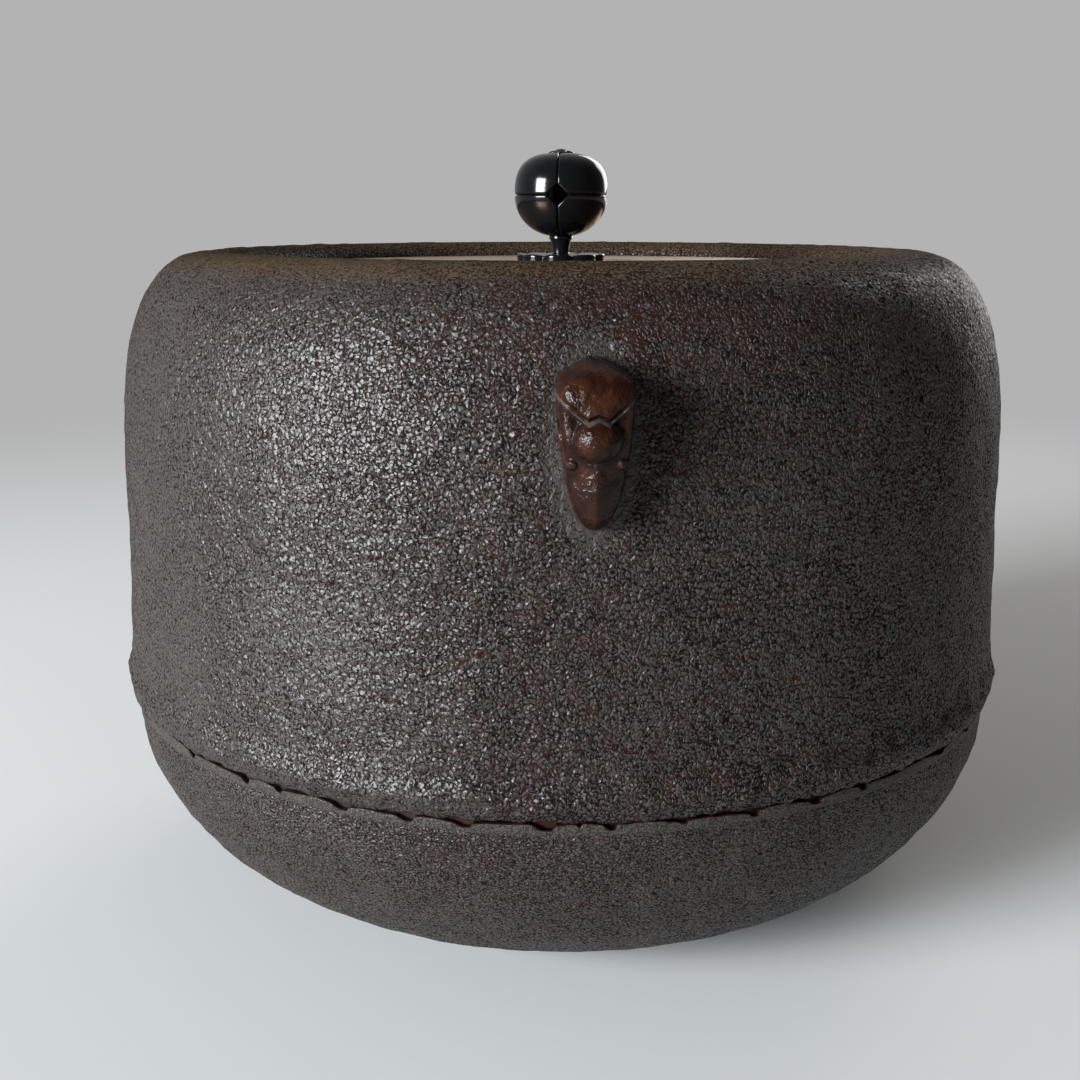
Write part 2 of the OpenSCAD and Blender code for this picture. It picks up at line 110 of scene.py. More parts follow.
class PanSizes(bpy.types.PropertyGroup):
    """Sizes of the bottom pan and of the putty along its seam."""
    base_r: length("Base radius", "Radius of the flat base", 0.045)
    pan_r: length("Radius", "Radius of the pan's rim", 0.1299)
    fullness: share("Fullness", "Exponent of the pan's curve, where 2 is an ellipse", 2.08)
    floor_t: length("Floor", "Thickness of the floor", 0.0034)
    spigot_r: length("Spigot radius", "Outer radius of the spigot inside the barrel", 0.1271)
    spigot_t: length("Spigot thickness", "Thickness of the spigot", 0.0022)
    spigot_h: length("Spigot height", "Height of the spigot above the seam", 0.012)
    band_h: length("Putty height", "Height of the putty below the barrel's edge", 0.0023)
    notch_pitch: turn("Notch pitch", "Angle from one notch of the putty to the next", 7.5)


class LugSizes(bpy.types.PropertyGroup):
    """Sizes of the two mask-shaped ring lugs."""
    middle_z: length("Height", "Height of a lug's middle", 0.1513)
    width: length("Width", "Width of a lug", 0.0166)
    height: length("Length", "Height of a lug from chin to crown", 0.0366)
    nose_reach: length("Nose reach", "Reach of the nose from the wall", 0.0158)
    face_reach: length("Face reach", "Reach of the cheeks from the wall", 0.0122)
    chin_taper: share("Chin taper", "Share by which the chin is narrower than the brow", 0.46)
    nose_d: length("Nose", "Diameter of the nose", 0.0096)
    nose_z: length("Nose height", "Height of the nose above the lug's middle", 0.0026)
    bead_d: length("Bead", "Diameter of the bead at each corner of the jaw", 0.0026)
    bead_drop: length("Bead drop", "Height of the beads below the lug's middle", 0.0024)
    brow_z: length("Brow", "Height of the brow's inner end above the lug's middle", 0.007)
    brow_slope: share("Brow slope", "Rise of the brow towards the temple", 0.83)
    brow_gap: length("Brow gap", "Distance between the brow's inner ends", 0.0044)
    forehead_rise: length("Forehead", "How far the forehead stands out over the eyes", 0.0019)
    eye_d: length("Ring eye", "Diameter of the hole for the lifting ring", 0.0076)
    eye_reach: length("Ring eye reach", "Distance of that hole from the wall", 0.0058)
    eye_z: length("Ring eye height", "Height of that hole above the lug's middle", 0.003)


class LidSizes(bpy.types.PropertyGroup):
    """Sizes of the lid."""
    lid_r: length("Radius", "Radius of the lid", 0.0915)
    lid_t: length("Thickness", "Thickness of the lid at its edge", 0.003)
    crown: length("Crown", "Rise of the lid's middle above its edge", 0.0008)
    ring_r: length("Ring radius", "Outer radius of the locating ring under the lid", 0.0834)
    ring_t: length("Ring thickness", "Thickness of the locating ring", 0.0026)
    ring_h: length("Ring depth", "Depth of the locating ring", 0.005)


class KnobSizes(bpy.types.PropertyGroup):
    """Sizes of the knob."""
    ball_r: length("Ball radius", "Radius of the ball at its belt", 0.0138)
    upper_fullness: share("Upper fullness", "Exponent of the upper half's outline", 2.8)
    lower_fullness: share("Lower fullness", "Exponent of the lower half's outline", 2.1)
    shell_t: length("Shell", "Thickness of a petal", 0.0018)
    petal_round: length("Petal edge", "Radius of a petal's edge", 0.0006)
    diamond_w: length("Diamond", "Width of the diamond-shaped openings", 0.0064)
    seams: turn("Seam turn", "Turn of the seams away from the lugs", -8)
    seat_r: length("Seat radius", "Radius of the flower-shaped seat", 0.0131)
    seat_petal_r: length("Seat petal", "Radius of one petal of the seat", 0.0052)
    seat_edge_t: length("Seat edge", "Thickness of the seat's edge", 0.0026)
    collar_r: length("Collar radius", "Radius of the collar's upper ring", 0.0035)
    collar_foot_r: length("Collar foot", "Radius of the collar at its foot", 0.0025)
    collar_ring_h: length("Collar ring", "Height of the collar's upper ring", 0.001)
    cap_r: length("Cap radius", "Radius of the cap over its lobes", 0.0037)
    cap_lobe_r: length("Cap lobe", "Radius of one lobe of the cap", 0.0019)


class KettleColours(bpy.types.PropertyGroup):
    """Colours of the finishes, in linear light."""
    skin: colour("Barrel skin", "Tops of the barrel's cast skin", (0.026, 0.0188, 0.0150))
    # Dark iron of the hollows, made darker still as painted shade; the lugs' hollows use it as painted
    # shade
    pit_and_shade: colour("Barrel pits", "Hollows of the cast skin", (0.0058, 0.0037, 0.003))
    rust: colour("Rust", "Rust in the hollows", (0.027, 0.0098, 0.0062))
    lip: colour("Lip", "Smoother brown skin along the lip", (0.058, 0.037, 0.018))
    pan: colour("Pan skin", "Tops of the pan's finer skin", (0.034, 0.0255, 0.0205))
    # Dark iron of the pan's hollows, made darker still as painted shade
    pan_pit_and_shade: colour("Pan pits", "Hollows of the pan's skin", (0.009, 0.0056, 0.0045))
    lug: colour("Lug", "Red-brown skin of the lugs", (0.022, 0.0070, 0.0034))
    # Pale rubbed iron of the lugs' edges and beads, which along the brow is also a painted highlight
    lug_worn: colour("Lug edges", "Worn edges of the lugs", (0.070, 0.060, 0.052))
    putty: colour("Putty", "Grey putty along the seam", (0.048, 0.040, 0.034))
    lacquer: colour("Lacquer", "Red-brown lacquer in the seam", (0.016, 0.0038, 0.0028))
    bronze: colour("Bronze", "Lid", (0.42, 0.28, 0.15))
    bronze_dark: colour("Bronze patina", "Dull patches of the lid", (0.22, 0.14, 0.08))
    black: colour("Knob", "Black of the knob", (0.004, 0.004, 0.0045))
    floor: colour("Floor", "Floor under the kettle", (0.70, 0.70, 0.69))


SIZE_GROUPS = {
    "kettle_barrel": BarrelSizes,
    "kettle_pan": PanSizes,
    "kettle_lug": LugSizes,
    "kettle_lid": LidSizes,
    "kettle_knob": KnobSizes,
    "kettle_colours": KettleColours,
}


# Shader maths

class Value:
    """A socket of a node tree. Sums, differences and products of values and numbers add Math nodes."""

    def __init__(self, graph, socket):
        self.graph = graph
        self.socket = socket

    def maths(self, operation, first, second):
        """Adds a Math node."""
        return self.graph.node("ShaderNodeMath", {"operation": operation}, {0: first, 1: second})

    def __add__(self, other):
        return self.maths("ADD", self, other)

    def __sub__(self, other):
        return self.maths("SUBTRACT", self, other)

    def __rsub__(self, other):
        return self.maths("SUBTRACT", other, self)

    def __mul__(self, other):
        return self.maths("MULTIPLY", self, other)

    __radd__ = __add__
    __rmul__ = __mul__


class Graph:
    """The node tree of a material or of the world. All its new nodes come from one method."""

    def __init__(self, owner):
        owner.use_nodes = True
        self.tree = owner.node_tree

    def found(self, kind):
        """The tree's own node of a kind."""
        return next(n for n in self.tree.nodes if n.type == kind)

    def node(self, kind, settings=None, sockets=None, out=0):
        """Adds a node of a type, sets its settings and then its sockets, and gives one output."""
        made = self.tree.nodes.new(kind)
        for key, setting in (settings or {}).items():
            setattr(made, key, setting)
        for key, value in (sockets or {}).items():
            if isinstance(value, Value):
                self.tree.links.new(value.socket, made.inputs[key])
            elif isinstance(value, tuple) and made.inputs[key].type == "RGBA":
                made.inputs[key].default_value = (*value, 1)
            else:
                made.inputs[key].default_value = value
        return Value(self, made.outputs[out])

    def ramp(self, value, low, high):
        """Smooth step from 0 at low to 1 at high."""
        return self.node("ShaderNodeMapRange", {"interpolation_type": "SMOOTHSTEP"}, {
            "Value": value, "From Min": low, "From Max": high})

    def vector(self, operation, sockets, out=0):
        """Adds a Vector Math node."""
        return self.node("ShaderNodeVectorMath", {"operation": operation}, sockets, out)

    def rays(self, *kinds):
        """1 for a ray of any of these kinds, and 0 for any other."""
        total = sum(self.node("ShaderNodeLightPath", out=f"Is {kind} Ray") for kind in kinds)
        return self.node("ShaderNodeClamp", sockets={"Value": total})


class Finish(Graph):
    """A procedural material, written as expressions on values that feed its Principled shader."""

    def __init__(self, name, **constants):
        self.material = bpy.data.materials.new(name)
        super().__init__(self.material)
        self.shader = self.found("BSDF_PRINCIPLED")
        for socket, number in constants.items():
            self.shader.inputs[socket.replace("_", " ")].default_value = number
        self.main = Value(self, self.shader.outputs[0])
        self.place = self.node("ShaderNodeTexCoord", out="Object")

    def noise(self, size, detail=2.0, where=None, rough=0.5):
        """Soft noise from 0 to 1 with features of a size in metres."""
        return self.node("ShaderNodeTexNoise", sockets={
            "Vector": where or self.place, "Scale": 1 / size, "Detail": detail, "Roughness": rough})

    def grains(self, size, where=None, feature="F1"):
        """Distance, in grains, to the nearest of many scattered points or to the edge between two."""
        return self.node("ShaderNodeTexVoronoi", {"feature": feature}, {
            "Vector": where or self.place, "Scale": 1 / size}, out="Distance")

    def warped(self, size, reach, squash=1.0):
        """Object coordinates pushed about by noise of a size, by up to a reach in metres, and drawn out
        level by stretching their height."""
        push = self.node("ShaderNodeTexNoise", sockets={
            "Vector": self.place, "Scale": 1 / size, "Detail": 1.0}, out="Color")
        centred = self.vector("SUBTRACT", {0: push, 1: (0.5, 0.5, 0.5)})
        scaled = self.vector("SCALE", {0: centred, "Scale": 2 * reach})
        moved = self.vector("ADD", {0: self.place, 1: scaled})
        return self.vector("MULTIPLY", {0: moved, 1: (1.0, 1.0, squash)})

    def blend(self, factor, first, second):
        """Colour that goes from the first to the second with a factor."""
        return self.node("ShaderNodeMix", {"data_type": "RGBA"}, {
            "Factor": factor, 6: first, 7: second}, out=2)

    def own(self, attribute):
        """A number that the piece carries on its points."""
        return self.node("ShaderNodeAttribute", {"attribute_name": attribute}, out="Fac")

    def height(self, low, high):
        """Smooth step with the height above the base, in metres."""
        return self.ramp(self.node("ShaderNodeSeparateXYZ", sockets={0: self.place}, out="Z"), low, high)

    def set(self, base, rough, relief=None, depth=0.0002, metallic=None):
        """Feeds the shader with a colour, a roughness and a relief of a depth in metres."""
        feeds = {"Base Color": base, "Roughness": rough}
        if metallic is not None:
            feeds["Metallic"] = metallic
        if relief is not None:
            feeds["Normal"] = self.node("ShaderNodeBump", sockets={
                "Strength": 1.0, "Distance": depth, "Height": relief})
        for socket, value in feeds.items():
            self.tree.links.new(value.socket, self.shader.inputs[socket])
        return self.material

    def mix(self, factor, low, high):
        """Shows a mix of two shaders in place of the Principled shader alone."""
        mixed = self.node("ShaderNodeMixShader", sockets={"Fac": factor, 1: low, 2: high})
        self.tree.links.new(mixed.socket, self.found("OUTPUT_MATERIAL").inputs["Surface"])
        return self.material


def paints():
    """The colours that the user can change."""
    return bpy.context.scene.kettle_colours


def shade(tint, strength=1.0):
    """A colour made darker or lighter by a strength."""
    return tuple(strength * x for x in tint)


def cast_skin(name, tops, pits, rust, grain, depth, rust_share, squash, bare=None):
    """Cast iron with a pebbled skin: grains pushed out of line and joined into flakes by noise. Their tops
    have a gloss. The hollows between them are dark iron, with rust in patches that grow up the shoulder,
    darkened further as painted shade, and a shader without reflection fills them as painted shade. The
    lip is brown, darker in its hollows as painted shade. A bare number, from 0 to 1, that the piece
    carries makes the skin smoother and less rusty."""
    c = paints()
    f = Finish(name, Specular_IOR_Level=0.5)
    where = f.warped(1.2 * grain, 0.45 * grain, squash)
    broad = f.noise(22 * grain, 3.0)
    ragged = f.noise(0.6 * grain, 2.0, where)
    edge = f.grains(grain, where, "DISTANCE_TO_EDGE")
    smooth = f.own(bare) if bare else 0.0
    shoulder = f.height(150 * MM, RIM_Z)
    inward = edge + 0.8 * (ragged - 0.5) + 0.12 * (broad - 0.5) + 0.2 * smooth - 0.02 * shoulder
    top = f.ramp(inward, -0.02, 0.22)
    relief = 0.45 * top + 1.4 * f.noise(1.4 * grain, 1.0, where)
    rusty = f.ramp(f.noise(4 * grain, 3.0) + 0.13 * shoulder, 0.44, 0.68)
    # Hollows: dark iron with rust, where the pit colour is darker than the iron as painted shade
    hollow = f.blend(rust_share * rusty * (1 - 1.4 * smooth), shade(pits), shade(rust))
    tone = f.blend(f.noise(5 * grain, 4.0), shade(tops, 0.7), shade(tops, 1.3))
    base = f.blend(top, hollow, tone)
    lip = f.height(RIM_Z - 6 * MM, RIM_Z)
    # The lip is lighter on its tops and darker in its hollows, partly as painted shade
    brown = f.blend(top, shade(c.lip, 0.35), shade(c.lip, 1.4))
    base = f.blend(0.7 * lip, base, brown)
    rough = 0.45 + 0.14 * (broad - 0.5) + 0.2 * lip
    f.set(base, rough, relief * (1 - 0.8 * smooth), depth)
    # Painted shade: the hollows get a shader without reflection, which stands in for the shade that falls
    # in them
    dull = f.node("ShaderNodeBsdfPrincipled", sockets={
        "Base Color": base, "Roughness": 0.9, "Specular IOR Level": 0.0})
    return f.mix(f.ramp(inward, -0.04, 0.2) * (1 - 0.7 * lip), dull, f.main)


def lug_skin():
    """Red-brown iron, rubbed to a gloss, with fine pits all over and pale rubbed edges that are also a
    painted highlight along the brow. Its hollows and its lower part are darkened as painted shade.
    """
    c = paints()
    f = Finish("lug_iron", Specular_IOR_Level=0.17)
    pitted = f.noise(0.7 * MM, 2.0, f.warped(2 * MM, 0.4 * MM), 0.6)
    blotch = f.noise(4 * MM, 3.0)
    # Pale where rubbed, and along the brow's ledge also as a painted highlight
    worn = f.ramp(f.own("worn") + 0.8 * (pitted - 0.5), 0.5, 1.1)
    base = f.blend(f.ramp(blotch, 0.35, 0.7), shade(c.lug, 0.5), shade(c.lug, 1.4))
    base = f.blend(0.6 * worn, base, shade(c.lug_worn))
    # Painted shade: points that lie deeper than what is round them are darkened towards the pit colour
    base = f.blend(0.8 * f.ramp(f.own("deep"), 0.2, 0.9), base, shade(c.pit_and_shade))
    middle_z = bpy.context.scene.kettle_lug.middle_z
    # Painted shade: the lug darkens towards its lower part, below its middle
    base = f.blend(0.5 - 0.5 * f.height(middle_z - 12 * MM, middle_z), base, shade(c.lug, 0.4))
    return f.set(base, 0.21 + 0.3 * (pitted - 0.5) + 0.15 * worn, pitted, 0.2 * MM)


def putty_skin():
    """Grey putty with a little grit, and dark lacquer where the piece carries a notch."""
    c = paints()
    f = Finish("seam_putty", Specular_IOR_Level=0.2)
    where = f.warped(1.2 * MM, 0.5 * MM, 1.6)
    edge = f.grains(1 * MM, where, "DISTANCE_TO_EDGE")
    grit = f.ramp(edge + f.noise(0.7 * MM, 2.0, where) - 0.5, -0.05, 0.2)
    tone = f.blend(grit, shade(c.putty, 0.35), shade(c.putty, 1.1))
    notch = f.own("notch")
    base = f.blend(notch, tone, shade(c.lacquer))
    return f.set(base, 0.6 - 0.15 * grit, grit * (1 - notch), 0.15 * MM)


def lacquer_skin():
    """Dark red-brown lacquer, brushed on thickly, with drips and a low gloss."""
    c = paints()
    f = Finish("lacquer", Specular_IOR_Level=0.25)
    thick = f.noise(3 * MM, 2.0)
    base = f.blend(thick, shade(c.lacquer, 0.6), shade(c.lacquer, 1.7))
    return f.set(base, 0.35 + 0.3 * thick, thick, 0.2 * MM)


def bronze_skin():
    """Smooth bronze with fine turning marks round the axis, dull brown patches and a soft gloss."""
    c = paints()
    f = Finish("lid_bronze", Specular_IOR_Level=0.5)
    flat = f.vector("MULTIPLY", {0: f.place, 1: (1.0, 1.0, 0.0)})
    radius = f.vector("LENGTH", {0: flat}, out="Value")
    rings = f.node("ShaderNodeTexNoise", {"noise_dimensions": "1D"}, {
        "W": radius, "Scale": 2200.0, "Detail": 2.0})
    patch = f.noise(16 * MM, 4.0, f.warped(20 * MM, 5 * MM), 0.6)
    speck = f.ramp(f.noise(1.2 * MM, 2.0), 0.62, 0.75)
    dull = f.ramp(patch, 0.42, 0.66)
    base = f.blend(dull, shade(c.bronze), shade(c.bronze_dark))
    base = f.blend(0.4 * speck, base, shade(c.bronze_dark, 0.6))
    rough = 0.27 + 0.2 * dull + 0.1 * rings
    return f.set(base, rough, rings + 0.5 * patch, 0.02 * MM, metallic=0.95 - 0.35 * dull)


def black_gloss():
    """Black lacquered metal: a high gloss with faint rubbed patches and a few fine marks."""
    c = paints()
    f = Finish("knob_black", Specular_IOR_Level=0.3)
    patch = f.noise(5 * MM, 3.0)
    mark = f.ramp(f.noise(0.7 * MM, 3.0, rough=0.7), 0.62, 0.8)
    base = f.blend(0.5 * mark, shade(c.black), shade(c.black, 3))
    return f.set(base, 0.1 + 0.08 * patch + 0.1 * mark, patch + 0.15 * mark, 0.02 * MM)


def plate_skin():
    """Hammered iron plate, dark with a bloom of rust."""
    c = paints()
    f = Finish("sound_plate_iron", Specular_IOR_Level=0.3)
    dents = f.grains(3 * MM)
    bloom = f.ramp(f.noise(4 * MM, 4.0), 0.4, 0.7)
    base = f.blend(bloom, shade(c.skin), shade(c.rust))
    return f.set(base, 0.55 + 0.2 * bloom, dents + 0.3 * f.noise(0.8 * MM), 0.2 * MM)


# Surfaces

def turns(count):
    """Even turns all round the axis."""
    return 2 * np.pi * np.arange(count) / count


def around(r, a, z):
    """Points at a radius from the axis, a turn about it and a height."""
    return np.stack(np.broadcast_arrays(r * np.cos(a), r * np.sin(a), z), -1)


def faces_of_grid(rows, cols, wrap_rows=False, wrap_cols=False):
    """Quads between neighbouring rows and columns of a grid, as an array of corner numbers."""
    r = np.arange(rows if wrap_rows else rows - 1)[:, None]
    c = np.arange(cols if wrap_cols else cols - 1)[None, :]
    r2, c2 = (r + 1) % rows, (c + 1) % cols
    quads = np.stack(np.broadcast_arrays(r * cols + c, r * cols + c2, r2 * cols + c2, r2 * cols + c), -1)
    return quads.reshape(-1, 4)


def put_mesh(name, points, faces, material, **carried):
    """Makes a smooth mesh object from points and faces, with numbers that its points carry."""
    mesh = bpy.data.meshes.new(name)
    mesh.from_pydata(points.reshape(-1, 3).tolist(), [], faces)
    mesh.polygons.foreach_set("use_smooth", np.ones(len(mesh.polygons), bool))
    for attribute, numbers in carried.items():
        layer = mesh.attributes.new(attribute, "FLOAT", "POINT")
        layer.data.foreach_set("value", np.ascontiguousarray(numbers, np.float32).ravel())
    mesh.materials.append(material)
    mesh.update()
    piece = bpy.data.objects.new(name, mesh)
    bpy.context.scene.collection.objects.link(piece)
    return piece


def put_turned(name, points, material, poles=False, **carried):
    """Surface of a profile turned about the axis, as rows of points all round. It closes on itself, or on a
    point at each end where the profile starts and ends on the axis."""
    rows, cols = points.shape[:2]
    faces = faces_of_grid(rows, cols, not poles, True).tolist()
    flat = points.reshape(-1, 3)
    if poles:
        ends = np.array([[0, 0, points[0, 0, 2]], [0, 0, points[-1, 0, 2]]])
        ring = np.arange(cols)
        after = (ring + 1) % cols
        first, last = np.full(cols, rows * cols), np.full(cols, rows * cols + 1)
        top = (rows - 1) * cols
        fans = [np.stack([first, after, ring], 1), np.stack([last, top + ring, top + after], 1)]
        faces += np.concatenate(fans).tolist()
        flat = np.concatenate([flat, ends])
    return put_mesh(name, flat, faces, material, **carried)


def put_slabs(name, outer, inner, material):
    """Closed slabs, each an outer and an inner grid of points stitched together along their borders."""
    count, rows, cols = outer.shape[:3]
    size = rows * cols
    skin = faces_of_grid(rows, cols)
    number = np.arange(size).reshape(rows, cols)
    border = np.concatenate([number[0, :-1], number[:-1, -1], number[-1, :0:-1], number[:0:-1, 0]])
    after = np.roll(border, -1)
    wall = np.stack([after, border, border + size, after + size], 1)
    slab = np.concatenate([skin, skin[:, ::-1] + size, wall])
    faces = (slab[None] + 2 * size * np.arange(count)[:, None, None]).reshape(-1, 4)
    points = np.stack([outer, inner], 1)
    return put_mesh(name, points, faces.tolist(), material)


def along(path, places):
    """Points of a path of [r, z] at places from 0 to 1 of its length."""
    run = np.concatenate([[0], np.cumsum(np.hypot(*np.diff(path, axis=0).T))])
    return np.stack([np.interp(places * run[-1], run, path[:, k]) for k in (0, 1)], 1)


def rounded(path, radius, closed=True, step=0.25 * MM):
    """A path of [r, z] with its corners rounded: even steps along it, averaged with a bell of a radius."""
    if closed:
        path = np.concatenate([path, path[:1]])
    count = int(np.hypot(*np.diff(path, axis=0).T).sum() / step)
    even = along(path, np.arange(count) / count if closed else np.linspace(0, 1, count))
    reach = int(4 * radius / step)
    bell = np.exp(-0.5 * (np.arange(-reach, reach + 1) * step / radius) ** 2)
    bell /= bell.sum()
    if closed:
        longer = np.concatenate([even[-reach:], even, even[:reach]])
    else:
        before, after = 2 * even[0] - even[reach:0:-1], 2 * even[-1] - even[-2:-reach - 2:-1]
        longer = np.concatenate([before, even, after])
    return np.stack([np.convolve(longer[:, k], bell, "valid") for k in (0, 1)], 1)


def picked(path, rows, density=None, closed=True):
    """Rows of a path of [r, z], spaced evenly, or so that more of them fall where a density is higher."""
    density = np.ones(len(path)) if density is None else density
    if closed:
        path, density = np.concatenate([path, path[:1]]), np.append(density, density[0])
    step = np.hypot(*np.diff(path, axis=0).T) * (density[1:] + density[:-1]) / 2
    run = np.concatenate([[0], np.cumsum(step)])
    places = np.linspace(0, run[-1], rows + 1)[:-1] if closed else np.linspace(0, run[-1], rows)
    return np.stack([np.interp(places, run, path[:, k]) for k in (0, 1)], 1)


def turned(profile, cols):
    """Points of a profile of [r, z] at even turns about the axis, and their outward directions."""
    a = turns(cols)
    slope = np.gradient(profile, axis=0)
    slope /= np.linalg.norm(slope, axis=1, keepdims=True) + 1e-12
    return around(profile[:, :1], a, profile[:, 1:]), around(slope[:, 1:], a, -slope[:, :1])


def waves(points, size, seed, count=28):
    """Smooth unevenness of about unit height: a sum of waves of like lengths in scattered directions."""
    chance = np.random.default_rng(seed)
    ways = chance.normal(size=(count, 3))
    ways /= np.linalg.norm(ways, axis=1, keepdims=True)
    ways *= 2 * np.pi / size * chance.uniform(0.6, 1.5, (count, 1))
    lag = chance.uniform(0, 2 * np.pi, count)
    total = np.zeros(points.shape[:-1])
    for way, start in zip(ways, lag):
        total += np.cos(points @ way + start)
    return total * math.sqrt(2 / count)


def step_up(x, low, high):
    """Smooth step from 0 at low to 1 at high."""
    t = np.clip((x - low) / (high - low), 0, 1)
    return t * t * (3 - 2 * t)


def quarter(r_in, r_out, z_end, z_side, fullness, count=120):
    """Superellipse quarter from the level end [r_in, z_end] to the upright end [r_out, z_side]."""
    a = np.linspace(0, np.pi / 2, count)
    s, c = np.clip(np.sin(a), 0, 1), np.clip(np.cos(a), 0, 1)
    r = r_in + (r_out - r_in) * s ** (2 / fullness)
    z = z_side + (z_end - z_side) * c ** (2 / fullness)
    return np.stack([r, z], 1)


def settle(piece, body, slot, *nodes):
    """Makes a piece ride on a body and lets it stand for the solids, which it hides. The slot is not used.
    """
    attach(piece, body)
    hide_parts(*nodes)


def wall_r(z):
    """Outer radius of the barrel's shoulder at a height, or its radius at the belly for heights below."""
    s = bpy.context.scene.kettle_barrel
    rise = np.clip((z - s.belly_z) / (RIM_Z - s.belly_z), 0, 1)
    crest_r = s.mouth_r + s.lip_w
    return crest_r + (s.body_r - crest_r) * (1 - rise ** s.fullness) ** (1 / s.fullness)


# Pieces

class KETTLE_OT_barrel(bpy.types.Operator):
    """Barrel: one closed profile, from the shoulder down to the broken flange, up inside and over the lip,
    turned about the axis. Its outside is uneven, most of all along the broken flange."""
    bl_idname = "kettle.barrel"
    bl_label = "Barrel"

    # Places where the broken edge hangs lower: turn to the left and spread in degrees, and drop
    hanging = ((71, 9, 2.4 * MM), (-66, 8, 1.5 * MM))
    # Middle of the smoother stretch: turn to the left in degrees
    smoother_turn = 40

    def execute(self, context):
        s = context.scene.kettle_barrel
        c = paints()
        waist_r, waist_z = s.body_r + s.waist_flare, SEAM_Z + s.flange_h
        crest_r, ledge_r = s.mouth_r + s.lip_w, s.mouth_r - s.ledge_w
        edge_z = RIM_Z - s.lid_drop
        ledge_z = edge_z - context.scene.kettle_lid.lid_t
        bore_r = waist_r - s.wall
        down = np.linspace(0, 1, 60)[1:]
        swell = s.flange_swell * np.sin(np.pi * down ** s.flange_droop) ** 2
        flange = np.stack([waist_r + swell, waist_z - s.flange_h * down], 1)
        inner = quarter(crest_r, s.body_r - s.wall, RIM_Z - s.crest_t, s.belly_z, s.fullness)
        lip_a = np.linspace(0, np.pi / 2, 30)[:-1]
        lip = np.stack([s.mouth_r + s.lip_w * (1 - np.cos(lip_a)), edge_z + s.lid_drop * np.sin(lip_a)], 1)
        path = np.concatenate([
            quarter(crest_r, s.body_r, RIM_Z, s.belly_z, s.fullness), [[waist_r, waist_z]], flange,
            [[bore_r, SEAM_Z], [bore_r, waist_z]], inner[::-1],
            [[s.mouth_r, ledge_z - s.ledge_t], [ledge_r, ledge_z - s.ledge_t], [ledge_r, ledge_z],
             [s.mouth_r, ledge_z]], lip])
        path = rounded(path[::-1], 0.45 * MM)
        outside = (path[:, 0] > s.body_r - 0.9 * MM) | ((path[:, 1] > edge_z) & (path[:, 0] > s.mouth_r))
        rows, cols = 168, 576
        points, out = turned(picked(path, rows, np.where(outside, 1.0, 0.3)), cols)
        r, z = np.hypot(points[..., 0], points[..., 1]), points[..., 2]
        in_skin = r > wall_r(z) - 1.2 * MM
        skin = step_up(r, s.mouth_r + 1 * MM, s.mouth_r + 8 * MM) * in_skin
        low = step_up(z, waist_z + 2 * MM, waist_z - 5 * MM) * step_up(z, SEAM_Z, SEAM_Z + 3 * MM)
        bumps = s.skin * (waves(points, 15 * MM, 3) + 0.6 * waves(points, 6 * MM, 4) - 1)
        ragged = 0.25 * MM * waves(points, 9 * MM, 5) + 0.15 * MM * waves(points, 4.5 * MM, 6)
        turn_left = np.degrees(np.arctan2(-points[..., 0], -points[..., 1]))
        drop = sum(fall * np.exp(-((turn_left - at) / spread) ** 2) for at, spread, fall in self.hanging)
        drop = drop + 0.22 * MM * waves(points, 5 * MM, 7) + 0.12 * MM * waves(points, 2.5 * MM, 10)
        edge = step_up(z, SEAM_Z + 6 * MM, SEAM_Z + 0.3 * MM) * (r > waist_r - 2 * MM)
        lug = context.scene.kettle_lug
        from_lug = np.hypot(points[..., 0] / lug.width, (z - lug.middle_z) / lug.height)
        near_lug = 0.7 * step_up(from_lug, 0.75, 0.5) * in_skin
        points = points + out * (skin * (1 - near_lug) * (bumps + low * ragged))[..., None]
        bare = np.maximum(near_lug, 0.32 * step_up(np.abs(turn_left - self.smoother_turn), 38, 14))
        points[..., 2] -= drop * edge
        skin_of_barrel = cast_skin(
            "barrel_iron", c.skin, c.pit_and_shade, c.rust, 1.15 * MM, 0.7 * MM, 0.7, 1.0, "bare")
        piece = put_turned("barrel", points, skin_of_barrel, bare=bare)
        settle(piece, "kettle", "barrel_iron", "kettle_body")
        return {"FINISHED"}


class KETTLE_OT_pan(bpy.types.Operator):
    """Bottom pan: a profile from the middle of the base, out and up to the seam, over the spigot and back
    along the inside, turned about the axis. Its outside is a little uneven."""
    bl_idname = "kettle.pan"
    bl_label = "Bottom pan"

    def execute(self, context):
        s = context.scene.kettle_pan
        c = paints()
        band_z = SEAM_Z - s.band_h
        in_r = s.spigot_r - s.spigot_t
        top_z = SEAM_Z + s.spigot_h
        path = np.concatenate([
            [[0.5 * MM, 0]], quarter(s.base_r, s.pan_r, 0, band_z, s.fullness),
            [[s.spigot_r, band_z], [s.spigot_r, top_z], [in_r, top_z]],
            quarter(s.base_r, in_r, s.floor_t, band_z, s.fullness)[::-1], [[0.5 * MM, s.floor_t]]])
        path = rounded(path, 0.15 * MM, closed=False)
        place = np.linspace(0, 1, len(path))
        rows, outer_rows, cols = 150, 104, 512
        profile = picked(path, rows, np.where(place < 0.47, 1.0, 0.35), closed=False)
        points, out = turned(profile, cols)
        z = points[..., 2]
        outside = np.arange(rows)[:, None] < outer_rows
        skin = outside * step_up(z, 0.5 * MM, 4 * MM) * step_up(band_z - z, 0.2 * MM, 3 * MM)
        bumps = 0.13 * MM * waves(points, 17 * MM, 8) + 0.07 * MM * waves(points, 6 * MM, 9)
        points = points + out * (skin * bumps)[..., None]
        skin_of_pan = cast_skin("pan_iron", c.pan, c.pan_pit_and_shade, c.rust, 1.05 * MM, 0.45 * MM, 0.4, 1.6)
        piece = put_turned("bottom_pan_cast", points, skin_of_pan, poles=True)
        settle(piece, "kettle", "pan_iron", "bottom_pan")
        return {"FINISHED"}


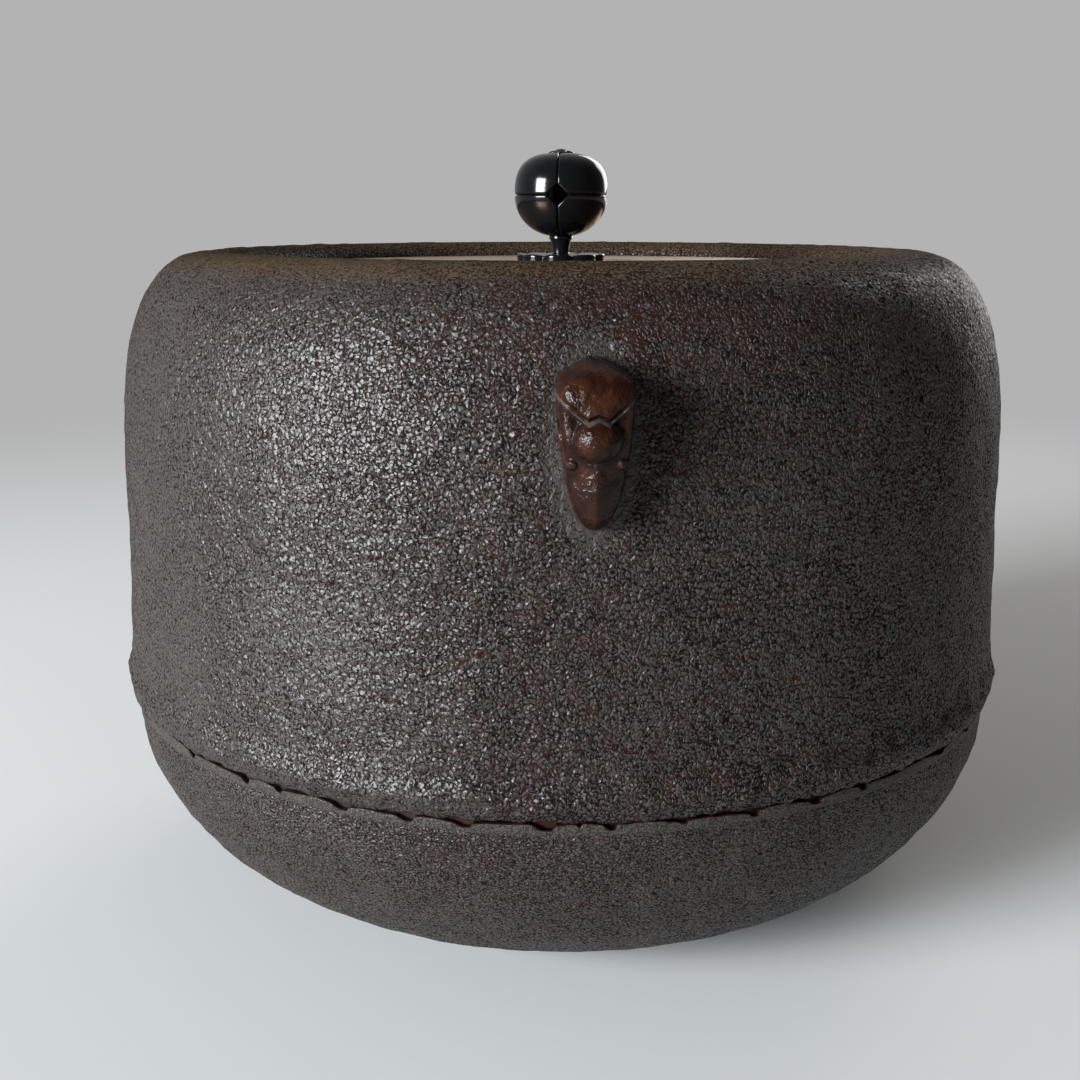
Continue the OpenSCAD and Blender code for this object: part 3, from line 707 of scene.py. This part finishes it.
class KETTLE_OT_putty(bpy.types.Operator):
    """Putty along the seam: a rounded block section carried round the kettle, whose height drops to nothing
    in each notch. A notch has a long slanting end and a steep one, and the front ones lie where the real
    ones do."""
    bl_idname = "kettle.putty"
    bl_label = "Putty"

    # Front notches: turn to the right in degrees, width in millimetres and share of the putty's height cut
    front_turn = (
        -50.4, -40.1, -35.0, -26.9, -19.4, -13.2, -5.0, -1.2, 1.8, 9.4, 17.2, 24.7, 31.4, 46.1, 54.8)
    front_width = (5.0, 5.0, 4.0, 7.0, 6.8, 6.5, 8.0, 1.8, 5.0, 4.0, 4.7, 6.0, 5.0, 7.0, 6.0)
    front_depth = (0.9, 1.0, 0.7, 1.0, 1.0, 1.0, 1.0, 0.5, 0.9, 0.5, 0.9, 1.0, 0.9, 1.0, 1.0)
    # Section: depth behind the pan's rim and drop below it in millimetres, and share of the putty's height
    section_in = (1.6, 1.6, 0.3, 0.04, -0.04, -0.1, -0.13, -0.12, -0.05, 0.08, 0.3, 1.6)
    section_down = (0, 1.4, 1.4, 1.2, 0.6, 0, 0, 0, 0, 0, 0, 0)
    section_up = (0, 0, 0, 0, 0, 0.06, 0.35, 0.65, 0.88, 0.98, 1, 1)

    def execute(self, context):
        s = context.scene.kettle_pan
        chance = np.random.default_rng(11)
        rest = np.arange(62.0, 302.0, math.degrees(s.notch_pitch))
        middle = np.radians(np.concatenate([self.front_turn, rest + chance.uniform(-1.2, 1.2, len(rest))]))
        width = MM * np.concatenate([self.front_width, chance.uniform(3.5, 7.5, len(rest))])
        depth = np.concatenate([self.front_depth, chance.uniform(0.6, 1.0, len(rest))])
        a = turns(3600)
        off = (a[:, None] - (middle - np.pi / 2) + np.pi) % (2 * np.pi) - np.pi
        x = off * s.pan_r / width
        cut = np.minimum(step_up(x, -0.5, 0.2), step_up(-x, -0.5, -0.3)) * depth
        cut = np.maximum(cut, 0.3 * depth * np.exp(-(1.4 * x) ** 2))
        notch = cut.max(1)
        place = around(s.pan_r, a, 0 * a)
        ripple = 0.2 * MM * waves(place, 11 * MM, 14) + 0.06 * MM * waves(place, 4 * MM, 15)
        gap = 0.6 * MM + 0.25 * MM * waves(place, 19 * MM, 16)
        tall = np.maximum((s.band_h - np.clip(gap - ripple, 0.1 * MM, 1 * MM)) * (1 - notch), 0.05 * MM)
        section = np.array([self.section_in, self.section_down, self.section_up])
        behind, down, up = section[:, :, None]
        r = s.pan_r - MM * behind + 0.5 * ripple * (up > 0.1) * (1 - notch)
        z = SEAM_Z - s.band_h - MM * down + tall * up
        carried = np.maximum(step_up(notch, 0.35, 0.6) * (up > 0.3), up > 0.97)
        piece = put_turned("putty", around(r, a, z), putty_skin(), notch=carried)
        settle(piece, "kettle", "putty", "seam_putty")
        return {"FINISHED"}


class KETTLE_OT_lugs(bpy.types.Operator):
    """Ring lugs: a mask as a reach from the wall over a grid across and up it, with steep rounded sides. A
    gabled forehead stands out over a V-shaped brow, a ball makes the nose, and a ridge runs down the jaw. A
    hole for the lifting ring goes through from side to side."""
    bl_idname = "kettle.lugs"
    bl_label = "Ring lugs"

    # How far a lug's foot lies inside the wall, and the radius of the wall round the axis there
    sunk = 1 * MM
    wall_round = 130 * MM

    def half_width(self, v):
        """Half-width at v, from -1 at the chin to 1 at the crown: upright temples under a flat gable,
        narrowing to a round chin."""
        s = bpy.context.scene.kettle_lug
        down = np.clip((0.6 - v) / 1.6, 0, None)
        chin = np.sqrt(np.clip(1 - np.minimum(v, 0) ** 4, 0, 1))
        side = s.width / 2 * (1 - s.chin_taper * down ** 1.5) * chin
        gable = s.height / 30 + (1 - v) * s.height
        return (np.maximum(side, 1e-6) ** -8.0 + np.maximum(gable, 1e-6) ** -8.0) ** (-1 / 8)

    def brow_line(self, x):
        """Height of the brow's lower edge at a distance from the middle."""
        s = bpy.context.scene.kettle_lug
        past = x - s.brow_gap / 2
        return s.brow_z + s.brow_slope * np.maximum(past, -past / 2)

    def bead_x(self):
        """Distance of the beads from the middle."""
        s = bpy.context.scene.kettle_lug
        return self.half_width(np.array(-2 * s.bead_drop / s.height)) - 0.7 * s.bead_d

    def reach(self, x, u, v):
        """Reach of the face from the wall: level cheeks, a forehead over the brow, eye hollows and a ridged
        jaw, falling away at the chin and the crown, with balls for the nose and the corners of the jaw."""
        s = bpy.context.scene.kettle_lug
        z = v * s.height / 2
        side = np.abs(x)
        brow = step_up(z - self.brow_line(side), -0.7 * MM, 0.7 * MM)
        jaw = step_up(s.nose_z - z, 0, s.height / 4)
        fall = (0.6 * MM + 1.6 * MM * brow) * u ** 2 + 3.4 * MM * jaw * (np.sqrt(u ** 2 + 0.006) - 0.077)
        socket_x, socket_r = 0.28 * s.width, 1.6 * MM
        off_x, off_z = (side - socket_x) / socket_r, (z - self.brow_line(socket_x)) / socket_r + 1
        hollow = 0.6 * MM * np.exp(-(off_x ** 2 + off_z ** 2) / 2)
        eyelid = 0.8 * MM * np.exp(-((z - self.brow_line(side) + 1.1 * MM) / (0.5 * MM)) ** 2)
        eyelid = eyelid * step_up(side, 7 * MM, 6 * MM)
        face = s.face_reach + s.forehead_rise * brow - hollow - fall + eyelid
        face = face * np.clip(1 - v ** 4, 0, 1) ** (1 / 3)
        for r, wide, at_x, at_z, at_y in (
                (s.nose_d / 2, 1.12, 0.0, s.nose_z, s.nose_reach - s.nose_d / 2),
                (s.bead_d / 2, 1.0, self.bead_x(), -s.bead_drop, s.face_reach - 1.9 * MM)):
            away = np.hypot((side - at_x) / wide, z - at_z)
            ball = at_y + np.sqrt(np.clip(r ** 2 - away ** 2, 0, None))
            face = np.where(away < r, np.maximum(face, ball), face)
        return face

    def mask(self):
        """Points of the mask facing +Y, with how rubbed each is, which is most along the brow, where it
        also
            stands for a painted highlight, and on the sides, and how deep it lies below what is round it,
            which the finish darkens as painted shade."""
        s = bpy.context.scene.kettle_lug
        rows, brow_share = 200, 0.64
        steep = np.linspace(0, 0.62 * np.pi / 2, 22)
        edge_u = np.cos(steep) ** (1 / 7)
        edge_e = np.sin(steep) ** (2 / 3.4)
        u_in = np.linspace(edge_u[-1], -edge_u[-1], 98)[1:-1]
        u = np.concatenate([edge_u, u_in, -edge_u[::-1]])
        e = np.concatenate([edge_e, np.clip(1 - np.abs(u_in) ** 14, 0, 1) ** (1 / 3.4), edge_e[::-1]])
        t = (1 - np.cos(np.linspace(0.02, np.pi - 0.02, rows))) / 2
        t = 0.35 * t + 0.65 * np.linspace(t[0], t[-1], rows)
        brow_v = self.brow_line(np.abs(u) * s.width / 2) * 2 / s.height
        t = t[:, None]
        below = -1 + (brow_v + 1) * t / brow_share
        above = brow_v + (1 - brow_v) * (t - brow_share) / (1 - brow_share)
        v = np.where(t < brow_share, below, above)
        x = u * self.half_width(v)
        z = v * s.height / 2
        foot = wall_r(s.middle_z + z) - wall_r(np.array(s.middle_z))
        foot = foot - self.sunk - x ** 2 / (2 * self.wall_round)
        tall = self.reach(x, u, v)
        y = foot + (tall - foot) * e
        points = np.stack([x, y, z], -1)
        rough = 0.05 * MM * waves(points, 2.6 * MM, 21) + 0.025 * MM * waves(points, 1.2 * MM, 22)
        points[..., 1] += rough * e * np.clip(1 - v ** 4, 0, 1)
        blurred = tall.copy()
        for axis in (0, 1):
            for _ in range(5):
                blurred = (np.roll(blurred, 3, axis) + blurred + np.roll(blurred, -3, axis)) / 3
        stands = np.clip((tall - blurred) / (0.5 * MM), -1, 1)
        bead = np.hypot(np.abs(x) - self.bead_x(), z + s.bead_drop) < s.bead_d / 2
        # Paler along the brow's ledge, partly rubbed iron and partly painted highlight; the beads and sides
        # are pale iron
        ledge = np.exp(-((z - self.brow_line(np.abs(x)) + 0.9 * MM) / (0.6 * MM)) ** 2)
        worn = np.clip(1.2 * ledge + 0.6 * bead + 0.8 * (1 - e), 0, 1)
        # How deep each point lies below what is round it, which the finish darkens as painted shade
        deep = np.clip(-1.2 * stands - ledge, 0, 1)
        return points, worn, deep

    def drilled(self, piece):
        """Cuts the hole for the lifting ring with a Boolean and clears the slivers along it."""
        s = bpy.context.scene.kettle_lug
        sides, least_faces = 72, 1000
        weld, sliver = 0.002 * MM, 0.001 * MM
        a = turns(sides)
        y = s.eye_reach + s.eye_d / 2 * np.cos(a)
        z = s.eye_z + s.eye_d / 2 * np.sin(a)
        across = np.array([-1, 1])[:, None] * s.width
        rod = np.stack(np.broadcast_arrays(across, y, z), -1)
        ring = np.arange(sides)
        ends = [ring[::-1].tolist(), (sides + ring).tolist()]
        faces = faces_of_grid(2, sides, False, True).tolist() + ends
        cutter = put_mesh("ring_eye_cutter", rod, faces, piece.data.materials[0])
        cut = piece.modifiers.new("ring_eye", "BOOLEAN")
        cut.object, cut.operation, cut.solver = cutter, "DIFFERENCE", "EXACT"
        bpy.context.view_layer.update()
        mesh = bpy.data.meshes.new_from_object(piece.evaluated_get(bpy.context.evaluated_depsgraph_get()))
        piece.modifiers.clear()
        bpy.data.objects.remove(cutter)
        if len(mesh.polygons) < least_faces:
            raise RuntimeError("the ring eye's cut left no lug")
        cleaned = bmesh.new()
        cleaned.from_mesh(mesh)
        bmesh.ops.remove_doubles(cleaned, verts=cleaned.verts, dist=weld)
        many_sided = [face for face in cleaned.faces if len(face.verts) > 4]
        bmesh.ops.triangulate(cleaned, faces=many_sided, quad_method="BEAUTY", ngon_method="BEAUTY")
        bmesh.ops.dissolve_degenerate(cleaned, dist=sliver, edges=cleaned.edges)
        cleaned.to_mesh(mesh)
        cleaned.free()
        piece.data = mesh

    def execute(self, context):
        s = context.scene.kettle_lug
        skin = lug_skin()
        points, worn, deep = self.mask()
        rows, cols = points.shape[:2]
        faces = faces_of_grid(rows, cols, False, True).tolist()
        faces += [list(range(cols)), list(range(rows * cols - 1, (rows - 1) * cols - 1, -1))]
        out_r = float(wall_r(np.array(s.middle_z)))
        for name, node, side in (("lug_front", "ring_lug_front", -1), ("lug_rear", "ring_lug_rear", 1)):
            piece = put_mesh(name, points, faces, skin, worn=worn, deep=deep)
            self.drilled(piece)
            mesh = piece.data
            place = np.empty(3 * len(mesh.vertices))
            mesh.vertices.foreach_get("co", place)
            place = place.reshape(-1, 3) * (side, side, 1) + (0, side * out_r, s.middle_z)
            mesh.vertices.foreach_set("co", place.ravel())
            mesh.polygons.foreach_set("use_smooth", np.ones(len(mesh.polygons), bool))
            mesh.update()
            settle(piece, "kettle", "lug_iron", node)
        return {"FINISHED"}


class KETTLE_OT_lid(bpy.types.Operator):
    """Lid: a profile over a low crown, a bevelled edge and the ring underneath, turned about the axis."""
    bl_idname = "kettle.lid"
    bl_label = "Lid"

    def execute(self, context):
        s = context.scene.kettle_lid
        edge_z = LID_TOP_Z - s.crown
        low_z = edge_z - s.lid_t
        ring_low_z, ring_in_r = low_z - s.ring_h, s.ring_r - s.ring_t
        middle_r, bevel = 0.3 * MM, 0.8 * MM
        outward = np.linspace(0, 1, 40)
        flat_r = context.scene.kettle_knob.seat_r
        crown_r = flat_r + (s.lid_r - bevel - flat_r) * outward
        crown_z = edge_z + s.crown * (1 + np.cos(np.pi * outward)) / 2
        path = np.concatenate([
            [[middle_r, low_z], [ring_in_r, low_z], [ring_in_r, ring_low_z], [s.ring_r, ring_low_z],
             [s.ring_r, low_z], [s.lid_r, low_z], [s.lid_r, edge_z - bevel]],
            np.stack([crown_r, crown_z], 1)[::-1], [[middle_r, LID_TOP_Z]]])
        rows, cols = 220, 256
        points, _ = turned(picked(rounded(path, 0.25 * MM, closed=False), rows, closed=False), cols)
        piece = put_turned("lid_bronze_cast", points, bronze_skin(), poles=True)
        settle(piece, "lid", "lid_bronze", "lid_plate")
        return {"FINISHED"}


class KETTLE_OT_knob(bpy.types.Operator):
    """Knob: eight petals, each a slab bent to a superellipse outline and cut back along the diamonds, whose
    edges curl in; a seat and a cap whose rim is a ring of round lobes; and a turned collar."""
    bl_idname = "kettle.knob"
    bl_label = "Knob"

    flower_cols = 320

    def petals(self, fullness, up):
        """Outer and inner points of the four petals of one half, which stands up or hangs down from the
        belt. A petal's outline is a superellipse, and it fills a quarter of the turn less its cut-back."""
        s = bpy.context.scene.kettle_knob
        rows, cols = 72, 60
        half_h = BALL_TOP_Z - BALL_Z + 0.3 * MM
        lat_end = math.acos((1.7 * MM / s.ball_r) ** (fullness / 2))
        k = np.linspace(0, 1, rows)
        lat = lat_end * (0.6 * k ** 2 + 0.4 * k)
        u = np.sin(np.pi / 2 * np.linspace(-1, 1, cols))
        middle = (np.arange(4) * np.pi / 2 + np.pi / 4 + s.seams)[:, None, None]

        def sheet(inset, gap):
            """Radii, heights and turns of a petal's face, and each point's distance from its edge."""
            r = (s.ball_r - inset) * np.cos(lat) ** (2 / fullness)
            z = (half_h - inset) * np.sin(lat) ** (2 / fullness)
            cut = np.maximum(s.diamond_w / 2 - z, 0) + gap
            limit = np.maximum(np.pi / 4 - cut / np.maximum(r, 1 * MM), 0.3 * np.pi / 4)
            turn_in = limit[:, None] * u
            edge = (limit[:, None] - np.abs(turn_in)) * r[:, None]
            edge = edge * np.where(z < s.diamond_w / 2, 0.72, 1.0)[:, None]
            return r[:, None], z[:, None], turn_in, np.minimum(edge, z[:, None])

        r, z, turn_in, edge = sheet(0.0, 0.05 * MM)
        q = np.clip(1 - edge / s.petal_round, 0, 1)
        curl = s.petal_round * (1 - np.sqrt(1 - np.minimum(q, 0.995) ** 2)) * step_up(r, 1.2 * MM, 3 * MM)
        puff = 0.1 * MM * np.cos(turn_in * 2) * step_up(r, 3 * MM, 9 * MM)
        size = 1 + (puff - curl) / np.sqrt(r ** 2 + z ** 2)
        r_in, z_in, turn_inner, _ = sheet(s.shell_t, 0.02 * MM)
        outer = around(size * r, middle + turn_in, size * z)
        inner = around(r_in, middle + turn_inner, z_in)
        for sheet_points, least in ((outer, 0.03 * MM), (inner, 0.0)):
            sheet_points[..., 2] = BALL_Z + up * np.maximum(sheet_points[..., 2], least)
        return (outer, inner) if up > 0 else (outer[:, :, ::-1], inner[:, :, ::-1])

    def lobes(self, a, count, reach, lobe_r):
        """Radius, at each turn, of a ring of round lobes that reach out to a radius, and how far the turn
        lies from the middle of its lobe, as a share of their pitch."""
        pitch = 2 * np.pi / count
        off = (a + pitch / 2) % pitch - pitch / 2
        middle = reach - lobe_r
        across = np.sqrt(np.clip(lobe_r ** 2 - (middle * np.sin(off)) ** 2, 0, None))
        return middle * np.cos(off) + across, off / pitch

    def seat(self):
        """Points of the seat: a low cone with a rim of eight lobes, which falls away between them."""
        s = bpy.context.scene.kettle_knob
        a = turns(self.flower_cols)
        rim, off = self.lobes(a - s.seams, 8, s.seat_r, s.seat_petal_r)
        high, edge, foot = (x / s.seat_r for x in (SEAT_TOP_Z - LID_TOP_Z, s.seat_edge_t, s.collar_foot_r))
        path = np.array([[0.02, 0], [1, 0], [1, edge], [0.6, 0.7 * high], [foot, high], [0.02, high]])
        profile = picked(rounded(path, 0.025, False, 0.004), 90, closed=False)
        share_r, share_z = profile[:, :1], profile[:, 1:]
        r = share_r * (s.seat_r + (rim - s.seat_r) * step_up(share_r, foot, 0.9))
        top = step_up(share_z, 0.05, 0.13) * step_up(share_r, foot, 0.7)
        z = LID_TOP_Z + share_z * s.seat_r - 0.45 * MM * top * (2 * np.abs(off)) ** 3
        return around(r, a, z)

    def collar(self):
        """Points of the collar: a cone that widens upwards, under a ring."""
        s = bpy.context.scene.kettle_knob
        foot_z, ring_z = SEAT_TOP_Z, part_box("knob_collar")[1].z - s.collar_ring_h
        top_z = ring_z + s.collar_ring_h
        sunk, middle_r = 0.2 * MM, 0.2 * MM
        up = np.linspace(0, 1, 20)
        cone = np.stack([s.collar_foot_r + 0.67 * MM * up ** 2, foot_z + (ring_z - foot_z) * up], 1)
        path = np.concatenate([
            [[middle_r, foot_z - sunk], [s.collar_foot_r + 0.3 * MM, foot_z - sunk]], cone,
            [[s.collar_r, ring_z], [s.collar_r, top_z], [middle_r, top_z]]])
        path = rounded(path, 0.13 * MM, False, 0.05 * MM)
        return turned(picked(path, 90, closed=False), 128)[0]

    def cap(self):
        """Points of the cap: a flat button whose rim is a ring of four lobes."""
        s = bpy.context.scene.kettle_knob
        a = turns(self.flower_cols)
        rim, _ = self.lobes(a - s.seams, 4, s.cap_r, s.cap_lobe_r)
        path = np.array([[0.02, -0.05], [0.97, -0.05], [1, 0.12], [0.8, 0.22], [0.02, 0.27]])
        profile = picked(rounded(path, 0.02, False, 0.004), 60, closed=False)
        share_r, share_z = profile[:, :1], profile[:, 1:]
        r = share_r * (s.cap_r + (rim - s.cap_r) * step_up(share_r, 0.1, 0.9))
        return around(r, a, BALL_TOP_Z + share_z * s.cap_r)

    def execute(self, context):
        s = context.scene.kettle_knob
        black = black_gloss()
        upper, lower = self.petals(s.upper_fullness, 1), self.petals(s.lower_fullness, -1)
        pieces = {
            "knob_upper_shell": put_slabs("petals_upper", *upper, black),
            "knob_lower_shell": put_slabs("petals_lower", *lower, black),
            "knob_seat": put_turned("knob_seat_flower", self.seat(), black, poles=True),
            "knob_collar": put_turned("knob_collar_turned", self.collar(), black, poles=True),
            "knob_cap": put_turned("knob_cap_flower", self.cap(), black, poles=True),
        }
        for node, piece in pieces.items():
            settle(piece, "lid", "knob_black", node)
        return {"FINISHED"}


class KETTLE_OT_small_parts(bpy.types.Operator):
    """Finishes for the solids that show as they are: shank, washer, seam lacquer, sounding plates, dabs."""
    bl_idname = "kettle.small_parts"
    bl_label = "Small parts"

    def execute(self, context):
        lacquer, plate = lacquer_skin(), plate_skin()
        finishes = {
            "knob_shank": bpy.data.materials["knob_black"],
            "shank_washer": bpy.data.materials["lid_bronze"],
            "seam_lacquer": lacquer,
        }
        for number in (1, 2, 3):
            finishes[f"sound_plate_{number}"] = plate
            finishes[f"lacquer_dab_{number}"] = lacquer
        for node, material in finishes.items():
            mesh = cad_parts[node].data
            mesh.materials.clear()
            mesh.materials.append(material)
        return {"FINISHED"}


class KETTLE_OT_stage(bpy.types.Operator):
    """Camera where the photograph was taken from, a pale floor that fades into a pale wall, and soft light
    from the left."""
    bl_idname = "kettle.stage"
    bl_label = "Stage"

    # Brightness of the wall, where 1 is white, and of the darker room in front of it
    wall, dark = 0.45, 0.05
    # Brightness of the even light from the level, and what it gains overhead
    level, overhead = 0.06, 0.16
    # Lens and sensor of the camera in millimetres
    lens, sensor = 44.42, 36.0
    # Camera's turn to the left of the front, and its look aside and down, in degrees
    aside, look_aside, look_down = 3.2, 0.876, 13.845
    # Camera's distance from the axis and height
    away, eye_z = 0.409, 0.19946
    # Lamps: name, turn to the left of the front and rise in degrees, distance, side, power and tint
    lamps = (
        ("window", 54, 12, 2.4, 1.0, 175.0, (0.89, 0.95, 1.0)),
        ("fill", -150, 16, 2.0, 1.2, 20.0, (1.0, 0.98, 0.95)),
    )
    # Height that the lamps face
    lit_z = 0.11
    # Radius of the floor, and the radii between which it fades into the wall
    floor_r, fade_start_r, fade_end_r = 6.0, 0.3, 1.1

    def lamp(self, name, turn_deg, rise_deg, away, side, power, tint):
        """Large soft lamp that faces the kettle from a turn to the left, a rise and a distance."""
        a, e = math.radians(turn_deg), math.radians(rise_deg)
        light = bpy.data.lights.new(name, "AREA")
        light.shape, light.size = "SQUARE", side
        light.energy, light.color = power, tint
        lamp = bpy.data.objects.new(name, light)
        back = Vector((-math.sin(a) * math.cos(e), -math.cos(a) * math.cos(e), math.sin(e)))
        lamp.location = Vector((0, 0, self.lit_z)) + away * back
        lamp.rotation_euler = back.to_track_quat("Z", "Y").to_euler()
        bpy.context.scene.collection.objects.link(lamp)

    def camera(self):
        """Camera that stands a little to the left of the front and looks down on the kettle."""
        data = bpy.data.cameras.new("camera")
        data.lens, data.sensor_width, data.clip_start = self.lens, self.sensor, 10 * MM
        camera = bpy.data.objects.new("camera", data)
        aside = math.radians(self.aside)
        turned_by = math.radians(self.look_aside) - aside
        camera.location = (-self.away * math.sin(aside), -self.away * math.cos(aside), self.eye_z)
        camera.rotation_euler = (math.radians(90 - self.look_down), 0, turned_by)
        bpy.context.scene.collection.objects.link(camera)
        bpy.context.scene.camera = camera

    def floor(self):
        """A level disc: rings of points whose radius grows with the square of the ring's number."""
        rows, cols = 39, 96
        r = np.linspace(0, 1, rows + 1)[1:, None] ** 2 * self.floor_r
        points = around(r, turns(cols), 0 * r)
        faces = faces_of_grid(rows, cols, False, True).tolist() + [list(range(cols))]
        f = Finish("floor", Specular_IOR_Level=0.0)
        grain = f.noise(4 * MM, 3.0)
        tint = paints().floor
        f.set(f.blend(grain, shade(tint, 0.98), shade(tint)), 0.7 + 0.1 * grain)
        spread = f.vector("LENGTH", {0: f.place}, out="Value")
        seen = f.rays("Camera", "Glossy", "Transmission")
        pale = f.node("ShaderNodeEmission", sockets={"Color": (1.0, 1.0, 1.0), "Strength": self.wall})
        faded = f.ramp(spread, self.fade_start_r, self.fade_end_r) * seen
        floor = put_mesh("floor", points, faces, f.mix(faded, f.main, pale))

    def world(self):
        """Soft even light. The camera sees a pale wall all round. What is mirrored or seen through clear
        things is that wall behind the kettle, and a darker room in front of it and to its right."""
        world = bpy.data.worlds.new("studio")
        g = Graph(world)
        way = g.node("ShaderNodeTexCoord", out="Generated")
        x, y, z = (g.node("ShaderNodeSeparateXYZ", sockets={0: way}, out=axis) for axis in "XYZ")
        room = self.dark + (self.wall - self.dark) * g.ramp(y, -0.4, 0.9) * (1 - 0.8 * g.ramp(x, 0.1, 0.8))
        sky = self.level + self.overhead * g.ramp(z, 0, 1)
        mirrored, seen = g.rays("Glossy", "Transmission"), g.rays("Camera")
        lit = mirrored * room + (1 - mirrored) * sky
        background = g.found("BACKGROUND")
        background.inputs["Color"].default_value = (1, 1, 1, 1)
        g.tree.links.new((seen * self.wall + (1 - seen) * lit).socket, background.inputs["Strength"])
        bpy.context.scene.world = world

    def execute(self, context):
        context.scene.view_settings.view_transform = "Standard"
        self.camera()
        self.floor()
        self.world()
        for lamp in self.lamps:
            self.lamp(*lamp)
        return {"FINISHED"}


class KETTLE_PT_build(bpy.types.Panel):
    """Buttons for the pieces of the kettle and the values that shape them."""
    bl_label = "Tea kettle"
    bl_idname = "KETTLE_PT_build"
    bl_space_type = "VIEW_3D"
    bl_region_type = "UI"
    bl_category = "Kettle"

    def draw(self, context):
        for operator in OPERATORS:
            self.layout.operator(operator.bl_idname)
        for name, group in SIZE_GROUPS.items():
            box = self.layout.box()
            for key in group.__annotations__:
                box.prop(getattr(context.scene, name), key)


OPERATORS = (
    KETTLE_OT_stage, KETTLE_OT_barrel, KETTLE_OT_pan, KETTLE_OT_putty,
    KETTLE_OT_lugs, KETTLE_OT_lid, KETTLE_OT_knob, KETTLE_OT_small_parts)
CLASSES = (*SIZE_GROUPS.values(), *OPERATORS, KETTLE_PT_build)


def register():
    """Adds the classes, and their settings to the scene."""
    for cls in CLASSES:
        bpy.utils.register_class(cls)
    for name, group in SIZE_GROUPS.items():
        setattr(bpy.types.Scene, name, bpy.props.PointerProperty(type=group))


def unregister():
    """Takes the settings and the classes away again."""
    for name in SIZE_GROUPS:
        delattr(bpy.types.Scene, name)
    for cls in reversed(CLASSES):
        bpy.utils.unregister_class(cls)


def main():
    """Builds the stage and every piece."""
    register()
    bpy.ops.kettle.stage()
    bpy.ops.kettle.barrel()
    bpy.ops.kettle.pan()
    bpy.ops.kettle.putty()
    bpy.ops.kettle.lugs()
    bpy.ops.kettle.lid()
    bpy.ops.kettle.knob()
    bpy.ops.kettle.small_parts()


if __name__ == "__main__":
    main()
